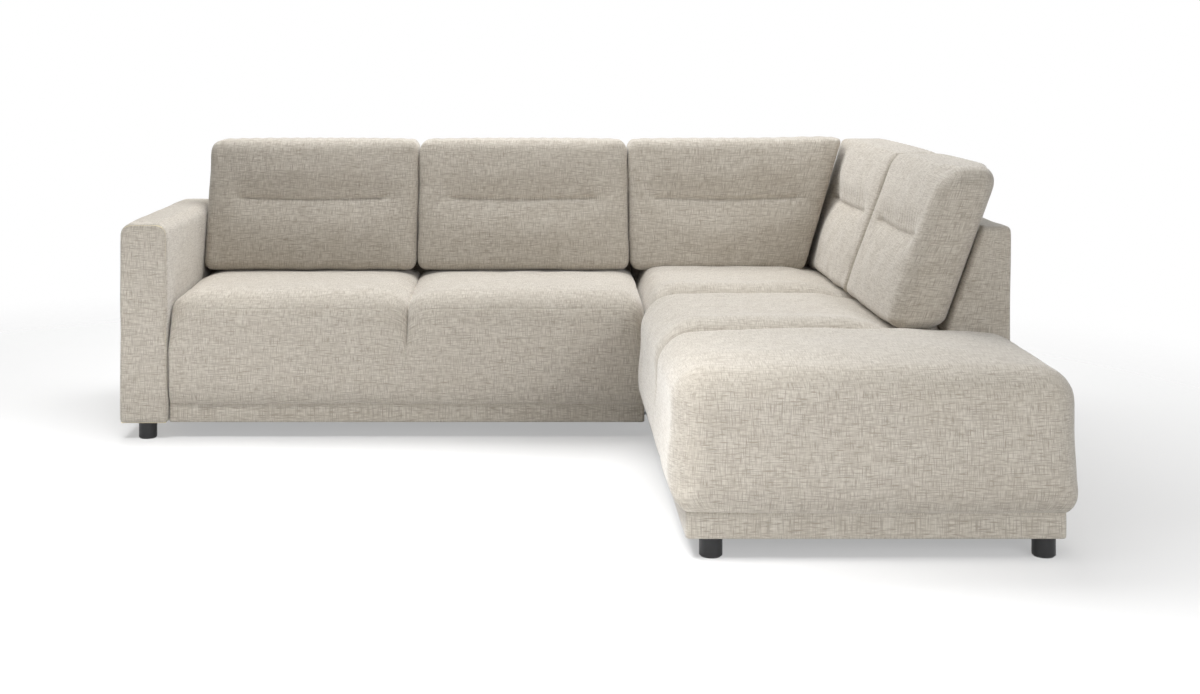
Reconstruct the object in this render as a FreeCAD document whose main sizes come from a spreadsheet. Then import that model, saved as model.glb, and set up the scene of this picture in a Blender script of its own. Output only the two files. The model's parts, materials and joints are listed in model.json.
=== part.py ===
import FreeCAD, Part
import math
import os
import Sketcher

# Corner sofa. Millimetres, +Z up, the sofa faces -Y and its arm is on the left.
# The origin is the middle of the floor area that the sofa covers.

SIZES = {
    # Plan of the two modules
    "arm_width": 150,
    "seat_width": 753,
    "sofa_depth": 885,
    "module_gap": 2,
    "corner_width": 953,
    "middle_length": 695,
    "end_length": 580,
    # Heights
    "foot_height": 50,
    "plinth_height": 65,
    "seat_height": 455,
    "seat_crown": 11,
    "end_crown": 16,
    "arm_height": 680,
    "back_height": 742,
    "cushion_top": 908,
    "frame_top": 290,
    # Upholstery
    "plinth_inset": 24,
    "plinth_inset_side": 10,
    "plinth_wall": 12,
    "side_swell": 39,
    "groove_depth": 19,
    "front_turn": 118,
    "seat_end_round": 105,
    "seat_end_drop": 62,
    "seam_round": 80,
    "seam_drop": 40,
    "cover_wall": 5,
    "arm_round": 35,
    "back_round": 20,
    # Backs
    "back_depth": 160,
    "side_back_depth": 179,
    "back_lean": 20,
    # Back cushions
    "cushion_width": 736,
    "cushion_depth": 168,
    "cushion_gap": 10,
    "cushion_round": 38,
    "cushion_wall": 9,
    "crease_depth": 15,
    "crease_height": 255,
    "zip_width": 8,
    "zip_height": 2.5,
    "zip_margin": 130,
    # Frame, webbing and feet
    "board": 22,
    "strap_width": 60,
    "strap_thickness": 2,
    "strap_pitch": 118,
    "foot_diameter": 57,
    "foot_setback": 10,
    "bolt_diameter": 8,
    "bolt_grip": 55,
    "pad_width": 120,
    "pad_height": 50,
    "sill_height": 60,
    "hook_width": 40,
    "hook_plate": 3,
    "hook_reach": 46,
    # Clearances
    "rest": 0.3,
    "fit": 0.5,
    "play": 0.4,
}

PLACES = {
    "total_width": "Sizes.arm_width + 2 * Sizes.seat_width + Sizes.module_gap"
                   " + Sizes.corner_width + Sizes.side_swell - Sizes.plinth_inset",
    "total_depth": "Sizes.end_length + Sizes.middle_length + Sizes.sofa_depth",
    "arm_x": "-Places.total_width / 2",
    "arm_inner_x": "Places.arm_x + Sizes.arm_width",
    "seam_x": "Places.arm_inner_x + Sizes.seat_width",
    "sofa_end_x": "Places.seam_x + Sizes.seat_width",
    "corner_x": "Places.sofa_end_x + Sizes.module_gap",
    "corner_end_x": "Places.corner_x + Sizes.corner_width",
    "plinth_left_x": "Places.corner_x + Sizes.plinth_inset_side",
    "plinth_right_x": "Places.corner_end_x - Sizes.plinth_inset",
    "side_face_x": "Places.corner_end_x - Sizes.side_back_depth",
    "front_y": "-Places.total_depth / 2",
    "rear_y": "Places.total_depth / 2",
    "end_seam_y": "Places.front_y + Sizes.end_length",
    "sofa_front_y": "Places.end_seam_y + Sizes.middle_length",
    "back_face_y": "Places.rear_y - Sizes.back_depth",
    "groove_z": "Sizes.foot_height + Sizes.plinth_height",
    "cover_foot_z": "Places.groove_z + Sizes.rest",
    "frame_foot_z": "Sizes.foot_height + 2",
    "back_run": "tan(Sizes.back_lean)",
    "back_rise": "Sizes.back_height - Sizes.seat_height",
    "cushion_foot_z": "Sizes.seat_height + 2 * Sizes.play",
    "cushion_front_y": "Places.back_face_y - Sizes.play - Sizes.cushion_depth",
    "cushion_front_x": "Places.side_face_x - Sizes.play - Sizes.cushion_depth",
    "webbing_z": "Sizes.frame_top + Sizes.rest",
}

doc = FreeCAD.newDocument("CornerSofa")
sizes = doc.addObject("Spreadsheet::Sheet", "Sizes")
for row, (alias, number) in enumerate(SIZES.items(), start=1):
    sizes.set("A%d" % row, str(number))
    sizes.setAlias("A%d" % row, alias)
doc.recompute()
places = doc.addObject("Spreadsheet::Sheet", "Places")
for row, (alias, formula) in enumerate(PLACES.items(), start=1):
    places.set("A%d" % row, "=" + formula)
    places.setAlias("A%d" % row, alias)
    doc.recompute()

nodes = []


def value(alias):
    """The number that a cell of either sheet holds."""
    sheet = sizes if alias in SIZES else places
    return float(sheet.get(alias))


def keep(feature, name):
    """Name a finished sub-part."""
    feature.Label = name
    nodes.append(feature)
    return feature


def bind(feature, **formulas):
    """Bind a feature's properties to formulas of the sheets' cells."""
    for name, formula in formulas.items():
        feature.setExpression(name, formula)
    return feature


def place(feature, x="0", y="0", z="0"):
    """Bind the place of a feature."""
    feature.setExpression("Placement.Base.x", x)
    feature.setExpression("Placement.Base.y", y)
    feature.setExpression("Placement.Base.z", z)
    return feature


def block(x0, x1, y0, y1, z0, z1):
    """A box between two limits on each axis, each limit a formula."""
    feature = doc.addObject("Part::Box", "Block")
    bind(feature, Length="(%s) - (%s)" % (x1, x0), Width="(%s) - (%s)" % (y1, y0),
         Height="(%s) - (%s)" % (z1, z0))
    return place(feature, x0, y0, z0)


def rod(x, y, z0, z1, diameter):
    """An upright cylinder between two heights."""
    feature = doc.addObject("Part::Cylinder", "Rod")
    bind(feature, Radius="(%s) / 2" % diameter, Height="(%s) - (%s)" % (z1, z0))
    return place(feature, x, y, z0)


def joined(pieces, name="Joined"):
    """One solid of several that touch."""
    if len(pieces) == 1:
        return pieces[0]
    feature = doc.addObject("Part::MultiFuse", name)
    feature.Shapes = pieces
    feature.Refine = True
    return feature


def group(pieces, name="Group"):
    """Separate solids in one sub-part."""
    feature = doc.addObject("Part::Compound", name)
    feature.Links = pieces
    return feature


def less(base, tool, name="Less"):
    """A solid without another."""
    feature = doc.addObject("Part::Cut", name)
    feature.Base = base
    feature.Tool = tool
    return feature


def within(pieces, room):
    """One solid of several that touch, without what reaches out of a room."""
    feature = doc.addObject("Part::MultiCommon", "Within")
    feature.Shapes = [joined(pieces), room]
    return feature


def solid(shape, name="Form"):
    """A form that the code works out, as an object of the document."""
    feature = doc.addObject("Part::Feature", name)
    feature.Shape = shape
    feature.Placement = FreeCAD.Placement()
    return feature


# Outlines drawn as sketches, and what is padded from them

def outline(body, role, corners):
    """A closed sketch whose corners are pairs of formulas."""
    sketch = body.newObject("Sketcher::SketchObject", "Outline")
    plane = [f for f in body.Origin.OriginFeatures if f.Role == role][0]
    sketch.AttachmentSupport = [(plane, "")]
    sketch.MapMode = "FlatFace"
    cells = [(evaluate(u), evaluate(v)) for u, v in corners]
    last = len(corners)
    for index, (u, v) in enumerate(cells):
        following = cells[(index + 1) % last]
        start = FreeCAD.Vector(u, v, 0)
        end = FreeCAD.Vector(following[0], following[1], 0)
        sketch.addGeometry(Part.LineSegment(start, end))
    for index in range(last):
        sketch.addConstraint(Sketcher.Constraint("Coincident", index, 2, (index + 1) % last, 1))
    for index, (u, v) in enumerate(corners):
        across = Sketcher.Constraint("DistanceX", -1, 1, index, 1, cells[index][0])
        sketch.setExpression("Constraints[%d]" % sketch.addConstraint(across), u)
        upward = Sketcher.Constraint("DistanceY", -1, 1, index, 1, cells[index][1])
        sketch.setExpression("Constraints[%d]" % sketch.addConstraint(upward), v)
    return sketch


def evaluate(formula):
    """The number that a formula of the cells gives now."""
    return float(places.evalExpression(formula))


def padded(name, role, corners, length, rounds=()):
    """A body padded from an outline; rounds are (corner index, radius formula) pairs."""
    body = doc.addObject("PartDesign::Body", name)
    sketch = outline(body, role, corners)
    pad = body.newObject("PartDesign::Pad", "Pad")
    pad.Profile = sketch
    pad.setExpression("Length", length)
    pad.Reversed = role == "XZ_Plane"
    doc.recompute()
    tip = pad
    for index, radius in rounds:
        corner = (evaluate(corners[index][0]), evaluate(corners[index][1]))
        edge = edge_at(tip.Shape, role, corner)
        rounded = body.newObject("PartDesign::Fillet", "Round")
        rounded.Base = (tip, [edge])
        rounded.setExpression("Radius", radius)
        doc.recompute()
        tip = rounded
    return body


def edge_at(shape, role, corner):
    """The name of the long edge that runs through a corner of the outline."""
    best = None
    for number, edge in enumerate(shape.Edges, start=1):
        middle = edge.valueAt((edge.FirstParameter + edge.LastParameter) / 2)
        ends = [vertex.Point for vertex in edge.Vertexes]
        if len(ends) < 2:
            continue
        span = ends[1] - ends[0]
        across = (middle.y, middle.z) if role == "YZ_Plane" else (middle.x, middle.z)
        side = math.hypot(span.y, span.z) if role == "YZ_Plane" else math.hypot(span.x, span.z)
        miss = math.hypot(across[0] - corner[0], across[1] - corner[1]) + side
        if best is None or miss < best[0]:
            best = (miss, "Edge%d" % number)
    return best[1]


# Soft forms: lofts through outlines of lines and arcs

def ring(edges, put):
    """A closed wire of edges, each (start, middle or None, end), put in space by a function."""
    parts = []
    for start, middle, end in edges:
        if middle is None:
            parts.append(Part.LineSegment(put(start), put(end)).toShape())
        else:
            parts.append(Part.Arc(put(start), put(middle), put(end)).toShape())
    return Part.Wire(parts)


def corners_at(corners, put):
    """The corners of an outline, put in space by a function."""
    return [put(corner) for corner in corners]


def corner_middle(corner, start, end):
    """The middle point of a round corner that starts and ends on its two sides."""
    share = 1 - math.sqrt(0.5)
    return (corner[0] + share * (start[0] + end[0] - 2 * corner[0]),
            corner[1] + share * (start[1] + end[1] - 2 * corner[1]))


def round_in(distance, reach):
    """How far an end is drawn in, from 1 at the end to 0 where its rounding stops."""
    if distance >= reach:
        return 0.0
    return 1 - math.sqrt(1 - (1 - distance / reach) ** 2)


def stations(start, end, start_reach, end_reach):
    """Places of the outlines along a loft, close together where its ends are rounded."""
    shares = (0.0, 0.2, 1.0)
    first = [start + share * start_reach for share in shares]
    last = [end - share * end_reach for share in reversed(shares)]
    return first + last


def loft(wires):
    """A solid through closed wires, straight from each to the next."""
    return Part.makeLoft(wires, True, True)


def facet(points):
    """The flat face through points, or two where they don't lie in one plane."""
    normal = (points[1] - points[0]).cross(points[2] - points[0])
    miss = abs((points[3] - points[0]).dot(normal)) / max(normal.Length, 1e-9)
    if miss < 1e-4:
        return [Part.Face(Part.makePolygon(points + points[:1]))]
    halves = (points[:3], [points[0], points[2], points[3]])
    return [Part.Face(Part.makePolygon(half + half[:1])) for half in halves]


def faceted(rings):
    """A solid with flat faces between outlines of equally many corners."""
    faces = []
    for first, second in zip(rings, rings[1:]):
        for index, corner in enumerate(first):
            following = (index + 1) % len(first)
            faces += facet([corner, first[following], second[following], second[index]])
    for closing in (rings[0], rings[-1]):
        faces.append(Part.Face(Part.makePolygon(closing + closing[:1])))
    body = Part.Solid(Part.Shell(faces))
    if body.Volume < 0:
        body.reverse()
    return body


# Seats of the two-seat module

def sofa_seat_outline(drop, setback, foot):
    """The outline of a seat from its front (-Y) to its back, in (y, z)."""
    front = value("sofa_front_y") + setback
    groove = value("sofa_front_y") + value("groove_depth")
    back = value("back_face_y") - value("rest")
    rest_y = value("cushion_front_y") - value("cushion_gap")
    top = value("seat_height") - drop
    turn = value("front_turn")
    low = (front + 4, foot + 60)
    shoulder = (front + 5, top - turn)
    brow = (front + turn + 10, top - 3)
    belly = (front, foot + 0.45 * (top - foot))
    crown = ((brow[0] + rest_y) / 2, top + value("seat_crown"))
    return [
        ((back, foot), None, (groove, foot)),
        ((groove, foot), corner_middle((low[0] - 2, foot), (groove, foot), low), low),
        (low, belly, shoulder),
        (shoulder, corner_middle((shoulder[0], brow[1]), shoulder, brow), brow),
        (brow, crown, (rest_y, top)),
        ((rest_y, top), None, (back, top)),
        ((back, top), None, (back, foot)),
    ]


def spare(inset):
    """The play round a frame in a cover's cavity; a foam block, set further in, has none."""
    return value("cover_wall") + value("fit") - inset


def sloped(edge, inward, top, turn, foot):
    """The three corners where a block's side, from its foot up, turns onto its top."""
    cut = max(0, foot + 4 - (top - turn))
    return [(edge + inward * cut, foot), (edge + inward * cut, top - turn + cut),
            (edge + inward * turn, top)]


def seat_ends(x, low, high, drops, reaches):
    """How far a seat's top is drawn down at a place between its two ends."""
    left = drops[0] * round_in(x - low, reaches[0])
    return left + drops[1] * round_in(high - x, reaches[1])


def sofa_seat(low, high, drops, reaches, foot):
    """The outside of one seat between two places along X."""
    wires = []
    for x in stations(low, high, *reaches):
        drop = seat_ends(x, low, high, drops, reaches)
        edges = sofa_seat_outline(drop, 0.45 * drop, foot)
        wires.append(ring(edges, lambda p, x=x: FreeCAD.Vector(x, p[0], p[1])))
    return loft(wires)


def sofa_seat_core(low, high, drops, reaches, inset, foot):
    """A block in a seat, with the slope of its front edge and its lowered ends."""
    front = evaluate(sofa_frame_limits()[2]) - spare(inset)
    turn = value("front_turn")
    back = value("back_face_y") - value("rest")
    rings = []
    wall = value("cover_wall")
    for x in (low + wall, low + reaches[0], high - reaches[1], high - wall):
        top = value("seat_height") - 3 - inset - seat_ends(x, low, high, drops, reaches)
        x = min(max(x, low + inset), high - inset)
        corners = [(back, foot)] + sloped(front, 1, top, turn, foot) + [(back, top)]
        rings.append(corners_at(corners, lambda p, x=x: FreeCAD.Vector(x, p[0], p[1])))
    return faceted(rings)


def sofa_seats(maker, *room):
    """The left and the right seat, which share the pulled seam between them."""
    seam = value("seam_x")
    end_drop = value("seat_end_drop")
    seam_drop = value("seam_drop")
    reach = value("seam_round")
    left = maker(value("arm_inner_x") + value("fit"), seam, (end_drop, seam_drop),
                 (value("seat_end_round"), reach), *room)
    right = maker(seam, value("sofa_end_x"), (seam_drop, seam_drop), (reach, reach), *room)
    return [left, right]


# Seats of the corner module

def corner_seat_outline(drop, left, groove, foot, crown):
    """The outline of a seat that meets the side back, in (x, z)."""
    top = value("seat_height") - drop
    right = value("side_face_x") - value("rest")
    rest_x = value("cushion_front_x") - value("cushion_gap")
    swell = groove - left
    low = (left + 0.3 * swell, foot + 50)
    belly = (left, foot + 0.42 * (top - foot))
    shoulder = (left + 0.2 * swell, top - value("front_turn") * 0.75)
    brow = (left + value("front_turn") * 0.8, top - 3)
    return [
        ((right, foot), None, (groove, foot)),
        ((groove, foot), corner_middle((low[0] - 1, foot), (groove, foot), low), low),
        (low, belly, shoulder),
        (shoulder, corner_middle((shoulder[0], brow[1]), shoulder, brow), brow),
        (brow, ((brow[0] + rest_x) / 2, top + crown), (rest_x, top)),
        ((rest_x, top), None, (right, top)),
        ((right, top), None, (right, foot)),
    ]


def corner_seat(low, high, foot):
    """The outside of the corner seat, which lies flat against the two-seat module."""
    wires = []
    reach = value("seam_round")
    flat_left = value("corner_x") + value("fit")
    rest_y = value("cushion_front_y") - value("cushion_gap")
    for y in stations(low, high, reach, reach)[:3] + [rest_y, high]:
        near = round_in(y - low, reach)
        left = flat_left + 14 * near
        crown = value("seat_crown") if y < rest_y else 0
        edges = corner_seat_outline(value("seam_drop") * near, left, flat_left + 26, foot, crown)
        wires.append(ring(edges, lambda p, y=y: FreeCAD.Vector(p[0], y, p[1])))
    return loft(wires)


def middle_seat(low, high, foot):
    """The outside of the middle seat, whose free side swells over the plinth."""
    wires = []
    reach = value("seam_round")
    flat_left = value("corner_x") + value("fit")
    swollen = value("plinth_left_x") - value("side_swell")
    for y in stations(low, high, reach, reach):
        near = round_in(y - low, reach)
        far = round_in(high - y, reach)
        drop = value("seam_drop") * (near + far)
        left = swollen + (flat_left + 14 - swollen) * far + 14 * near
        groove = value("plinth_left_x") + (flat_left + 26 - value("plinth_left_x")) * far
        edges = corner_seat_outline(drop, left, groove, foot, value("seat_crown"))
        wires.append(ring(edges, lambda p, y=y: FreeCAD.Vector(p[0], y, p[1])))
    return loft(wires)


def end_seat_outline(drop, draw, foot):
    """The outline of the open end seat, alike on both sides, in (x, z)."""
    swell = value("side_swell")
    left = value("plinth_left_x") - swell + draw
    right = value("plinth_right_x") + swell - draw
    top = value("seat_height") - drop
    turn = value("front_turn") * 0.8
    groove = max(swell - draw, 3)
    half = []
    for side, edge_x in ((1, right), (-1, left)):
        low = (edge_x - side * 0.3 * groove, foot + 50)
        belly = (edge_x, foot + 0.42 * (top - foot))
        shoulder = (edge_x - side * 0.2 * groove, top - turn)
        brow = (edge_x - side * turn, top - 3)
        half.append(((edge_x - side * groove, foot), low, belly, shoulder, brow))
    start_r, low_r, belly_r, shoulder_r, brow_r = half[0]
    start_l, low_l, belly_l, shoulder_l, brow_l = half[1]
    return [
        (start_l, None, start_r),
        (start_r, corner_middle((low_r[0] + 1, foot), start_r, low_r), low_r),
        (low_r, belly_r, shoulder_r),
        (shoulder_r, corner_middle((shoulder_r[0], brow_r[1]), shoulder_r, brow_r), brow_r),
        (brow_r, ((left + right) / 2, top + value("end_crown")), brow_l),
        (brow_l, corner_middle((shoulder_l[0], brow_l[1]), shoulder_l, brow_l), shoulder_l),
        (shoulder_l, belly_l, low_l),
        (low_l, corner_middle((low_l[0] - 1, foot), start_l, low_l), start_l),
    ]


def end_seat(low, high, foot):
    """The outside of the open end seat, its front turned down."""
    wires = []
    front_reach = value("front_turn")
    seam_reach = value("seam_round")
    for y in stations(low, high, front_reach, seam_reach):
        front = round_in(y - low, front_reach)
        seam = round_in(high - y, seam_reach)
        drop = value("front_turn") * 0.8 * front + value("seam_drop") * seam
        lift = foot + value("groove_depth") * front
        edges = end_seat_outline(drop, 34 * front + 14 * seam, lift)
        wires.append(ring(edges, lambda p, y=y: FreeCAD.Vector(p[0], y, p[1])))
    return loft(wires)


def corner_core(low, high, drops, reaches, right, inset, foot):
    """A block in one of the corner module's seats."""
    left = evaluate(corner_frame_limits()[0]) - spare(inset)
    turn = value("front_turn") * 0.8
    rings = []
    wall = value("cover_wall")
    for y in (low + wall, low + reaches[0], high - reaches[1], high - wall):
        top = value("seat_height") - 3 - inset - seat_ends(y, low, high, drops, reaches)
        y = min(max(y, low + inset), high - inset)
        corners = [(right, foot)] + sloped(left, 1, top, turn, foot) + [(right, top)]
        rings.append(corners_at(corners, lambda p, y=y: FreeCAD.Vector(p[0], y, p[1])))
    return faceted(rings)


def end_core(inset, foot):
    """The block in the open end seat, sloped at its front and both sides."""
    left, right, front, rear = numbers(end_seat_limits())
    left -= spare(inset)
    right += spare(inset)
    front -= spare(inset)
    turn = value("front_turn") * 0.8
    high = value("end_seam_y") - inset
    reach = value("seam_round")
    lows = [(front, value("front_turn") * 0.8), (front + value("front_turn"), 0),
            (high + inset - reach, 0), (high, value("seam_drop") + 2)]
    rings = []
    for y, drop in lows:
        top = value("seat_height") - 3 - inset - drop
        corners = sloped(left, 1, top, turn, foot) + sloped(right, -1, top, turn, foot)[::-1]
        rings.append(corners_at(corners, lambda p, y=y: FreeCAD.Vector(p[0], y, p[1])))
    return faceted(rings)


def corner_seats(foot):
    """The outsides of the corner seat, the middle seat and the open end seat."""
    turn = value("sofa_front_y")
    seam = value("end_seam_y")
    rear = value("back_face_y") - value("rest")
    return [corner_seat(turn, rear, foot), middle_seat(seam, turn, foot),
            end_seat(value("front_y"), seam, foot)]


def corner_cores(inset, foot):
    """Blocks inside the same three seats."""
    turn = value("sofa_front_y")
    seam = value("end_seam_y")
    rear = value("back_face_y") - value("rest")
    right = value("side_face_x") - value("rest") - value("cover_wall") + spare(inset)
    drop = value("seam_drop")
    reach = value("seam_round")
    return [corner_core(turn, rear, (drop, 0), (reach, reach), right, inset, foot),
            corner_core(seam, turn, (drop, drop), (reach, reach), right, inset, foot),
            end_core(inset, foot)]


# Back cushions

def cushion_outline(draw, pinch, crease):
    """A cushion's outline in (depth, height): the front face is at depth 0."""
    deep = value("cushion_depth")
    tall = value("cushion_top") - value("cushion_foot_z")
    front = draw + 8
    back = deep - 0.35 * draw
    low = 0.45 * pinch
    high = tall - pinch
    turn = value("cushion_round")
    waist = value("crease_height")
    fold = (front - 8 + crease, waist)
    sole = (front + 0.7 * turn, low)
    chin = (front, low + 0.8 * turn)
    brow = (front + 6, high - 0.8 * turn)
    hair = (front + 0.9 * turn, high)
    nape = (back - 0.6 * turn, high)
    neck = (back, high - 0.8 * turn)
    return [
        ((back, low), None, sole),
        (sole, corner_middle((chin[0], sole[1]), sole, chin), chin),
        (chin, (front - 8, (chin[1] + waist) / 2), fold),
        (fold, (front - 6, (brow[1] + waist) / 2), brow),
        (brow, corner_middle((brow[0], hair[1]), brow, hair), hair),
        (hair, None, nape),
        (nape, corner_middle((neck[0], nape[1]), nape, neck), neck),
        (neck, None, (back, low)),
    ]


def cushion_form(start, end, slants, put):
    """The outside of a leaning cushion between two places along its row."""
    wires = []
    reach = value("cushion_round") * 1.7
    places_on_row = stations(start, end, reach, reach)
    for index, along in enumerate(places_on_row):
        draw = 26 * (round_in(along - start, reach) + round_in(end - along, reach))
        fold = value("crease_depth") if index in (2, 3) else 3.0
        edges = cushion_outline(draw, 1.4 * draw, fold)
        wires.append(ring(edges, leaning(along, slants[index // 3], put)))
    return loft(wires)


def leaning(along, slant, put):
    """How a cushion's outline goes into space; slant is 1 where the outline leans sideways."""
    run = value("back_run")
    return lambda p: put(along + slant * run * p[1], p[0] + run * p[1], p[1])


def cushion_core(start, end, slants, put, inset):
    """The block inside a cushion, with its edges cut off."""
    deep = value("cushion_depth") - inset - 8
    tall = value("cushion_top") - value("cushion_foot_z") - inset - 24
    front = inset + 26
    low = inset + 8
    turn = value("cushion_round")
    corners = [(deep, low), (front, low), (front, tall - turn), (front + turn, tall),
               (deep - turn, tall), (deep, tall - turn)]
    rings = []
    for along, slant in ((start + inset + 12, slants[0]), (end - inset - 12, slants[1])):
        rings.append(corners_at(corners, leaning(along, slant, put)))
    return faceted(rings)


def cushion(number, start, end, slants, rear_row):
    """The cover, the core and the zip of one cushion."""
    foot = value("cushion_foot_z")
    if rear_row:
        def put(along, depth, height):
            return FreeCAD.Vector(along, value("cushion_front_y") + depth, foot + height)
    else:
        def put(along, depth, height):
            return FreeCAD.Vector(value("cushion_front_x") + depth, along, foot + height)
    wall = value("cushion_wall")
    outer = cushion_form(start, end, slants, put)
    cavity = cushion_core(start, end, slants, put, wall)
    core = cushion_core(start, end, slants, put, wall + value("fit"))
    depth = 0.62 * value("cushion_depth")
    tape = []
    for spare in (value("play"), 0.0):
        low = put(start + value("zip_margin") - spare, depth - spare, -1 if spare else value("rest"))
        high = put(end - value("zip_margin") + spare, depth + value("zip_width") + spare,
                   value("rest") + value("zip_height") + spare)
        size = high - low
        tape.append(Part.makeBox(abs(size.x), abs(size.y), size.z,
                                 FreeCAD.Vector(min(low.x, high.x), min(low.y, high.y), low.z)))
    shell = outer.cut(cavity).cut(tape[0])
    keep(solid(shell), "cushion_%d_cover" % number)
    keep(solid(core), "cushion_%d_core" % number)
    keep(solid(tape[1]), "cushion_%d_zip" % number)


# Webbing

def woven_strap(length, crossings, first, over, put):
    """A strap that passes over and under the straps it crosses, flat at both ends."""
    half = value("strap_width") / 2 + 3
    rise = value("strap_thickness") + value("rest") / 2
    thick = value("strap_thickness")
    line = [(0, 0), (value("board") + 4, 0)]
    for crossing in range(crossings):
        middle = first + crossing * value("strap_pitch")
        level = rise if (crossing + over) % 2 else -rise
        line.append((middle - half, level))
        line.append((middle + half, level))
    line += [(length - value("board") - 4, 0), (length, 0)]
    upper = [(along, level + thick) for along, level in reversed(line)]
    corners = [put(along, level) for along, level in line + upper]
    face = Part.Face(Part.makePolygon(corners + corners[:1]))
    return face


def webbing(low, high, across_low, across_high, straight_along_y, name):
    """Straight straps one way and woven ones the other, on top of a frame.

    low and high limit the woven straps' run, across_low and across_high the straight ones'.
    """
    level = value("webbing_z")
    wide = value("strap_width")
    thick = value("strap_thickness")
    pitch = value("strap_pitch")
    run = high - low
    count = int((run - 2 * wide) / pitch)
    first = (run - (count - 1) * pitch) / 2
    straps = []
    for index in range(count):
        along = low + first + index * pitch - wide / 2
        if straight_along_y:
            corner = FreeCAD.Vector(along, across_low, level)
            straps.append(Part.makeBox(wide, across_high - across_low, thick, corner))
        else:
            corner = FreeCAD.Vector(across_low, along, level)
            straps.append(Part.makeBox(across_high - across_low, wide, thick, corner))
    rows = 4
    step = (across_high - across_low - 2 * wide) / rows
    for index in range(rows):
        start = across_low + wide + (index + 0.5) * step - wide / 2
        if straight_along_y:
            def put(along, up, start=start):
                return FreeCAD.Vector(low + along, start, level + up)
            way = FreeCAD.Vector(0, wide, 0)
        else:
            def put(along, up, start=start):
                return FreeCAD.Vector(start, low + along, level + up)
            way = FreeCAD.Vector(wide, 0, 0)
        straps.append(woven_strap(run, count, first, index % 2, put).extrude(way))
    return keep(solid(Part.makeCompound(straps)), name)


# Feet and their bolts

ARM_FEET = ("arm_front", "arm_rear")
SOFA_FEET = ("arm_front", "arm_rear", "sofa_front", "sofa_rear")
CORNER_FEET = ("end_left", "end_right", "middle_left", "middle_right", "corner_left",
               "corner_right")

def foot_spots():
    """Each foot's name and its place, as formulas."""
    setback = "(Sizes.plinth_inset + Sizes.foot_setback + Sizes.foot_diameter / 2)"
    left = "Places.plinth_left_x + 64"
    right = "Places.plinth_right_x - 47"
    arm = "Places.arm_inner_x - 0.45 * Sizes.arm_width"
    sofa = "Places.sofa_end_x - 85"
    rear = "Places.rear_y - 90"
    return [
        ("arm_front", arm, "Places.sofa_front_y + Sizes.foot_setback + Sizes.foot_diameter / 2"),
        ("arm_rear", arm, rear),
        ("sofa_front", sofa, "Places.sofa_front_y + 285"),
        ("sofa_rear", sofa, rear),
        ("end_left", left, "Places.front_y + " + setback),
        ("end_right", right, "Places.front_y + " + setback),
        ("middle_left", left, "Places.sofa_front_y - 120"),
        ("middle_right", right, "Places.sofa_front_y - 120"),
        ("corner_left", left, rear),
        ("corner_right", right, rear),
    ]


def foot(name, x, y):
    """A turned plastic foot with a rounded lower edge."""
    radius = "Sizes.foot_diameter / 2"
    corners = [
        ("0", "0"),
        (radius + " - 4", "0"),
        (radius, "4"),
        (radius, "Sizes.foot_height - Sizes.rest"),
        ("0", "Sizes.foot_height - Sizes.rest"),
    ]
    body = doc.addObject("PartDesign::Body", "Foot")
    sketch = outline(body, "XZ_Plane", corners)
    turned = body.newObject("PartDesign::Revolution", "Turned")
    turned.Profile = sketch
    turned.ReferenceAxis = (sketch, ["V_Axis"])
    turned.Angle = 360
    doc.recompute()
    return place(body, x, y, "0")


def feet():
    """The feet of each module, and the bolts that hold them all."""
    bolts = []
    modules = {"sofa_feet": [], "corner_feet": []}
    for name, x, y in foot_spots():
        module = "sofa_feet" if name in SOFA_FEET else "corner_feet"
        modules[module].append(foot(name, x, y))
        bolts.append(rod(x, y, "Sizes.foot_height",
                         "Sizes.foot_height + Sizes.bolt_grip", "Sizes.bolt_diameter"))
    for module, pieces in modules.items():
        keep(group(pieces), module)
    keep(group(bolts), "foot_bolts")


def bolt_holes(spots):
    """The bores for some feet's bolts, as one tool."""
    low = "Sizes.foot_height - 5"
    high = "Sizes.foot_height + Sizes.bolt_grip + Sizes.rest"
    wide = "Sizes.bolt_diameter + Sizes.rest"
    return group([rod(x, y, low, high, wide) for name, x, y in foot_spots() if name in spots])


def foot_pads(spots):
    """The wooden pads that a frame holds over its feet."""
    pads = []
    for name, x, y in foot_spots():
        if name in spots:
            half = " Sizes.pad_width / 2"
            pads.append(block(x + " -" + half, x + " +" + half, y + " -" + half, y + " +" + half,
                              "Places.frame_foot_z", "Places.frame_foot_z + Sizes.pad_height"))
    return pads


# The arm


def arm_block(name, x0, x1, y0, y1, z0, z1, radius):
    """A long block with its two upper long edges rounded."""
    corners = [(x0, z0), (x1, z0), (x1, z1), (x0, z1)]
    body = padded(name, "XZ_Plane", corners, "(%s) - (%s)" % (y1, y0), [(2, radius), (3, radius)])
    return place(body, "0", y0, "0")


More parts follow.
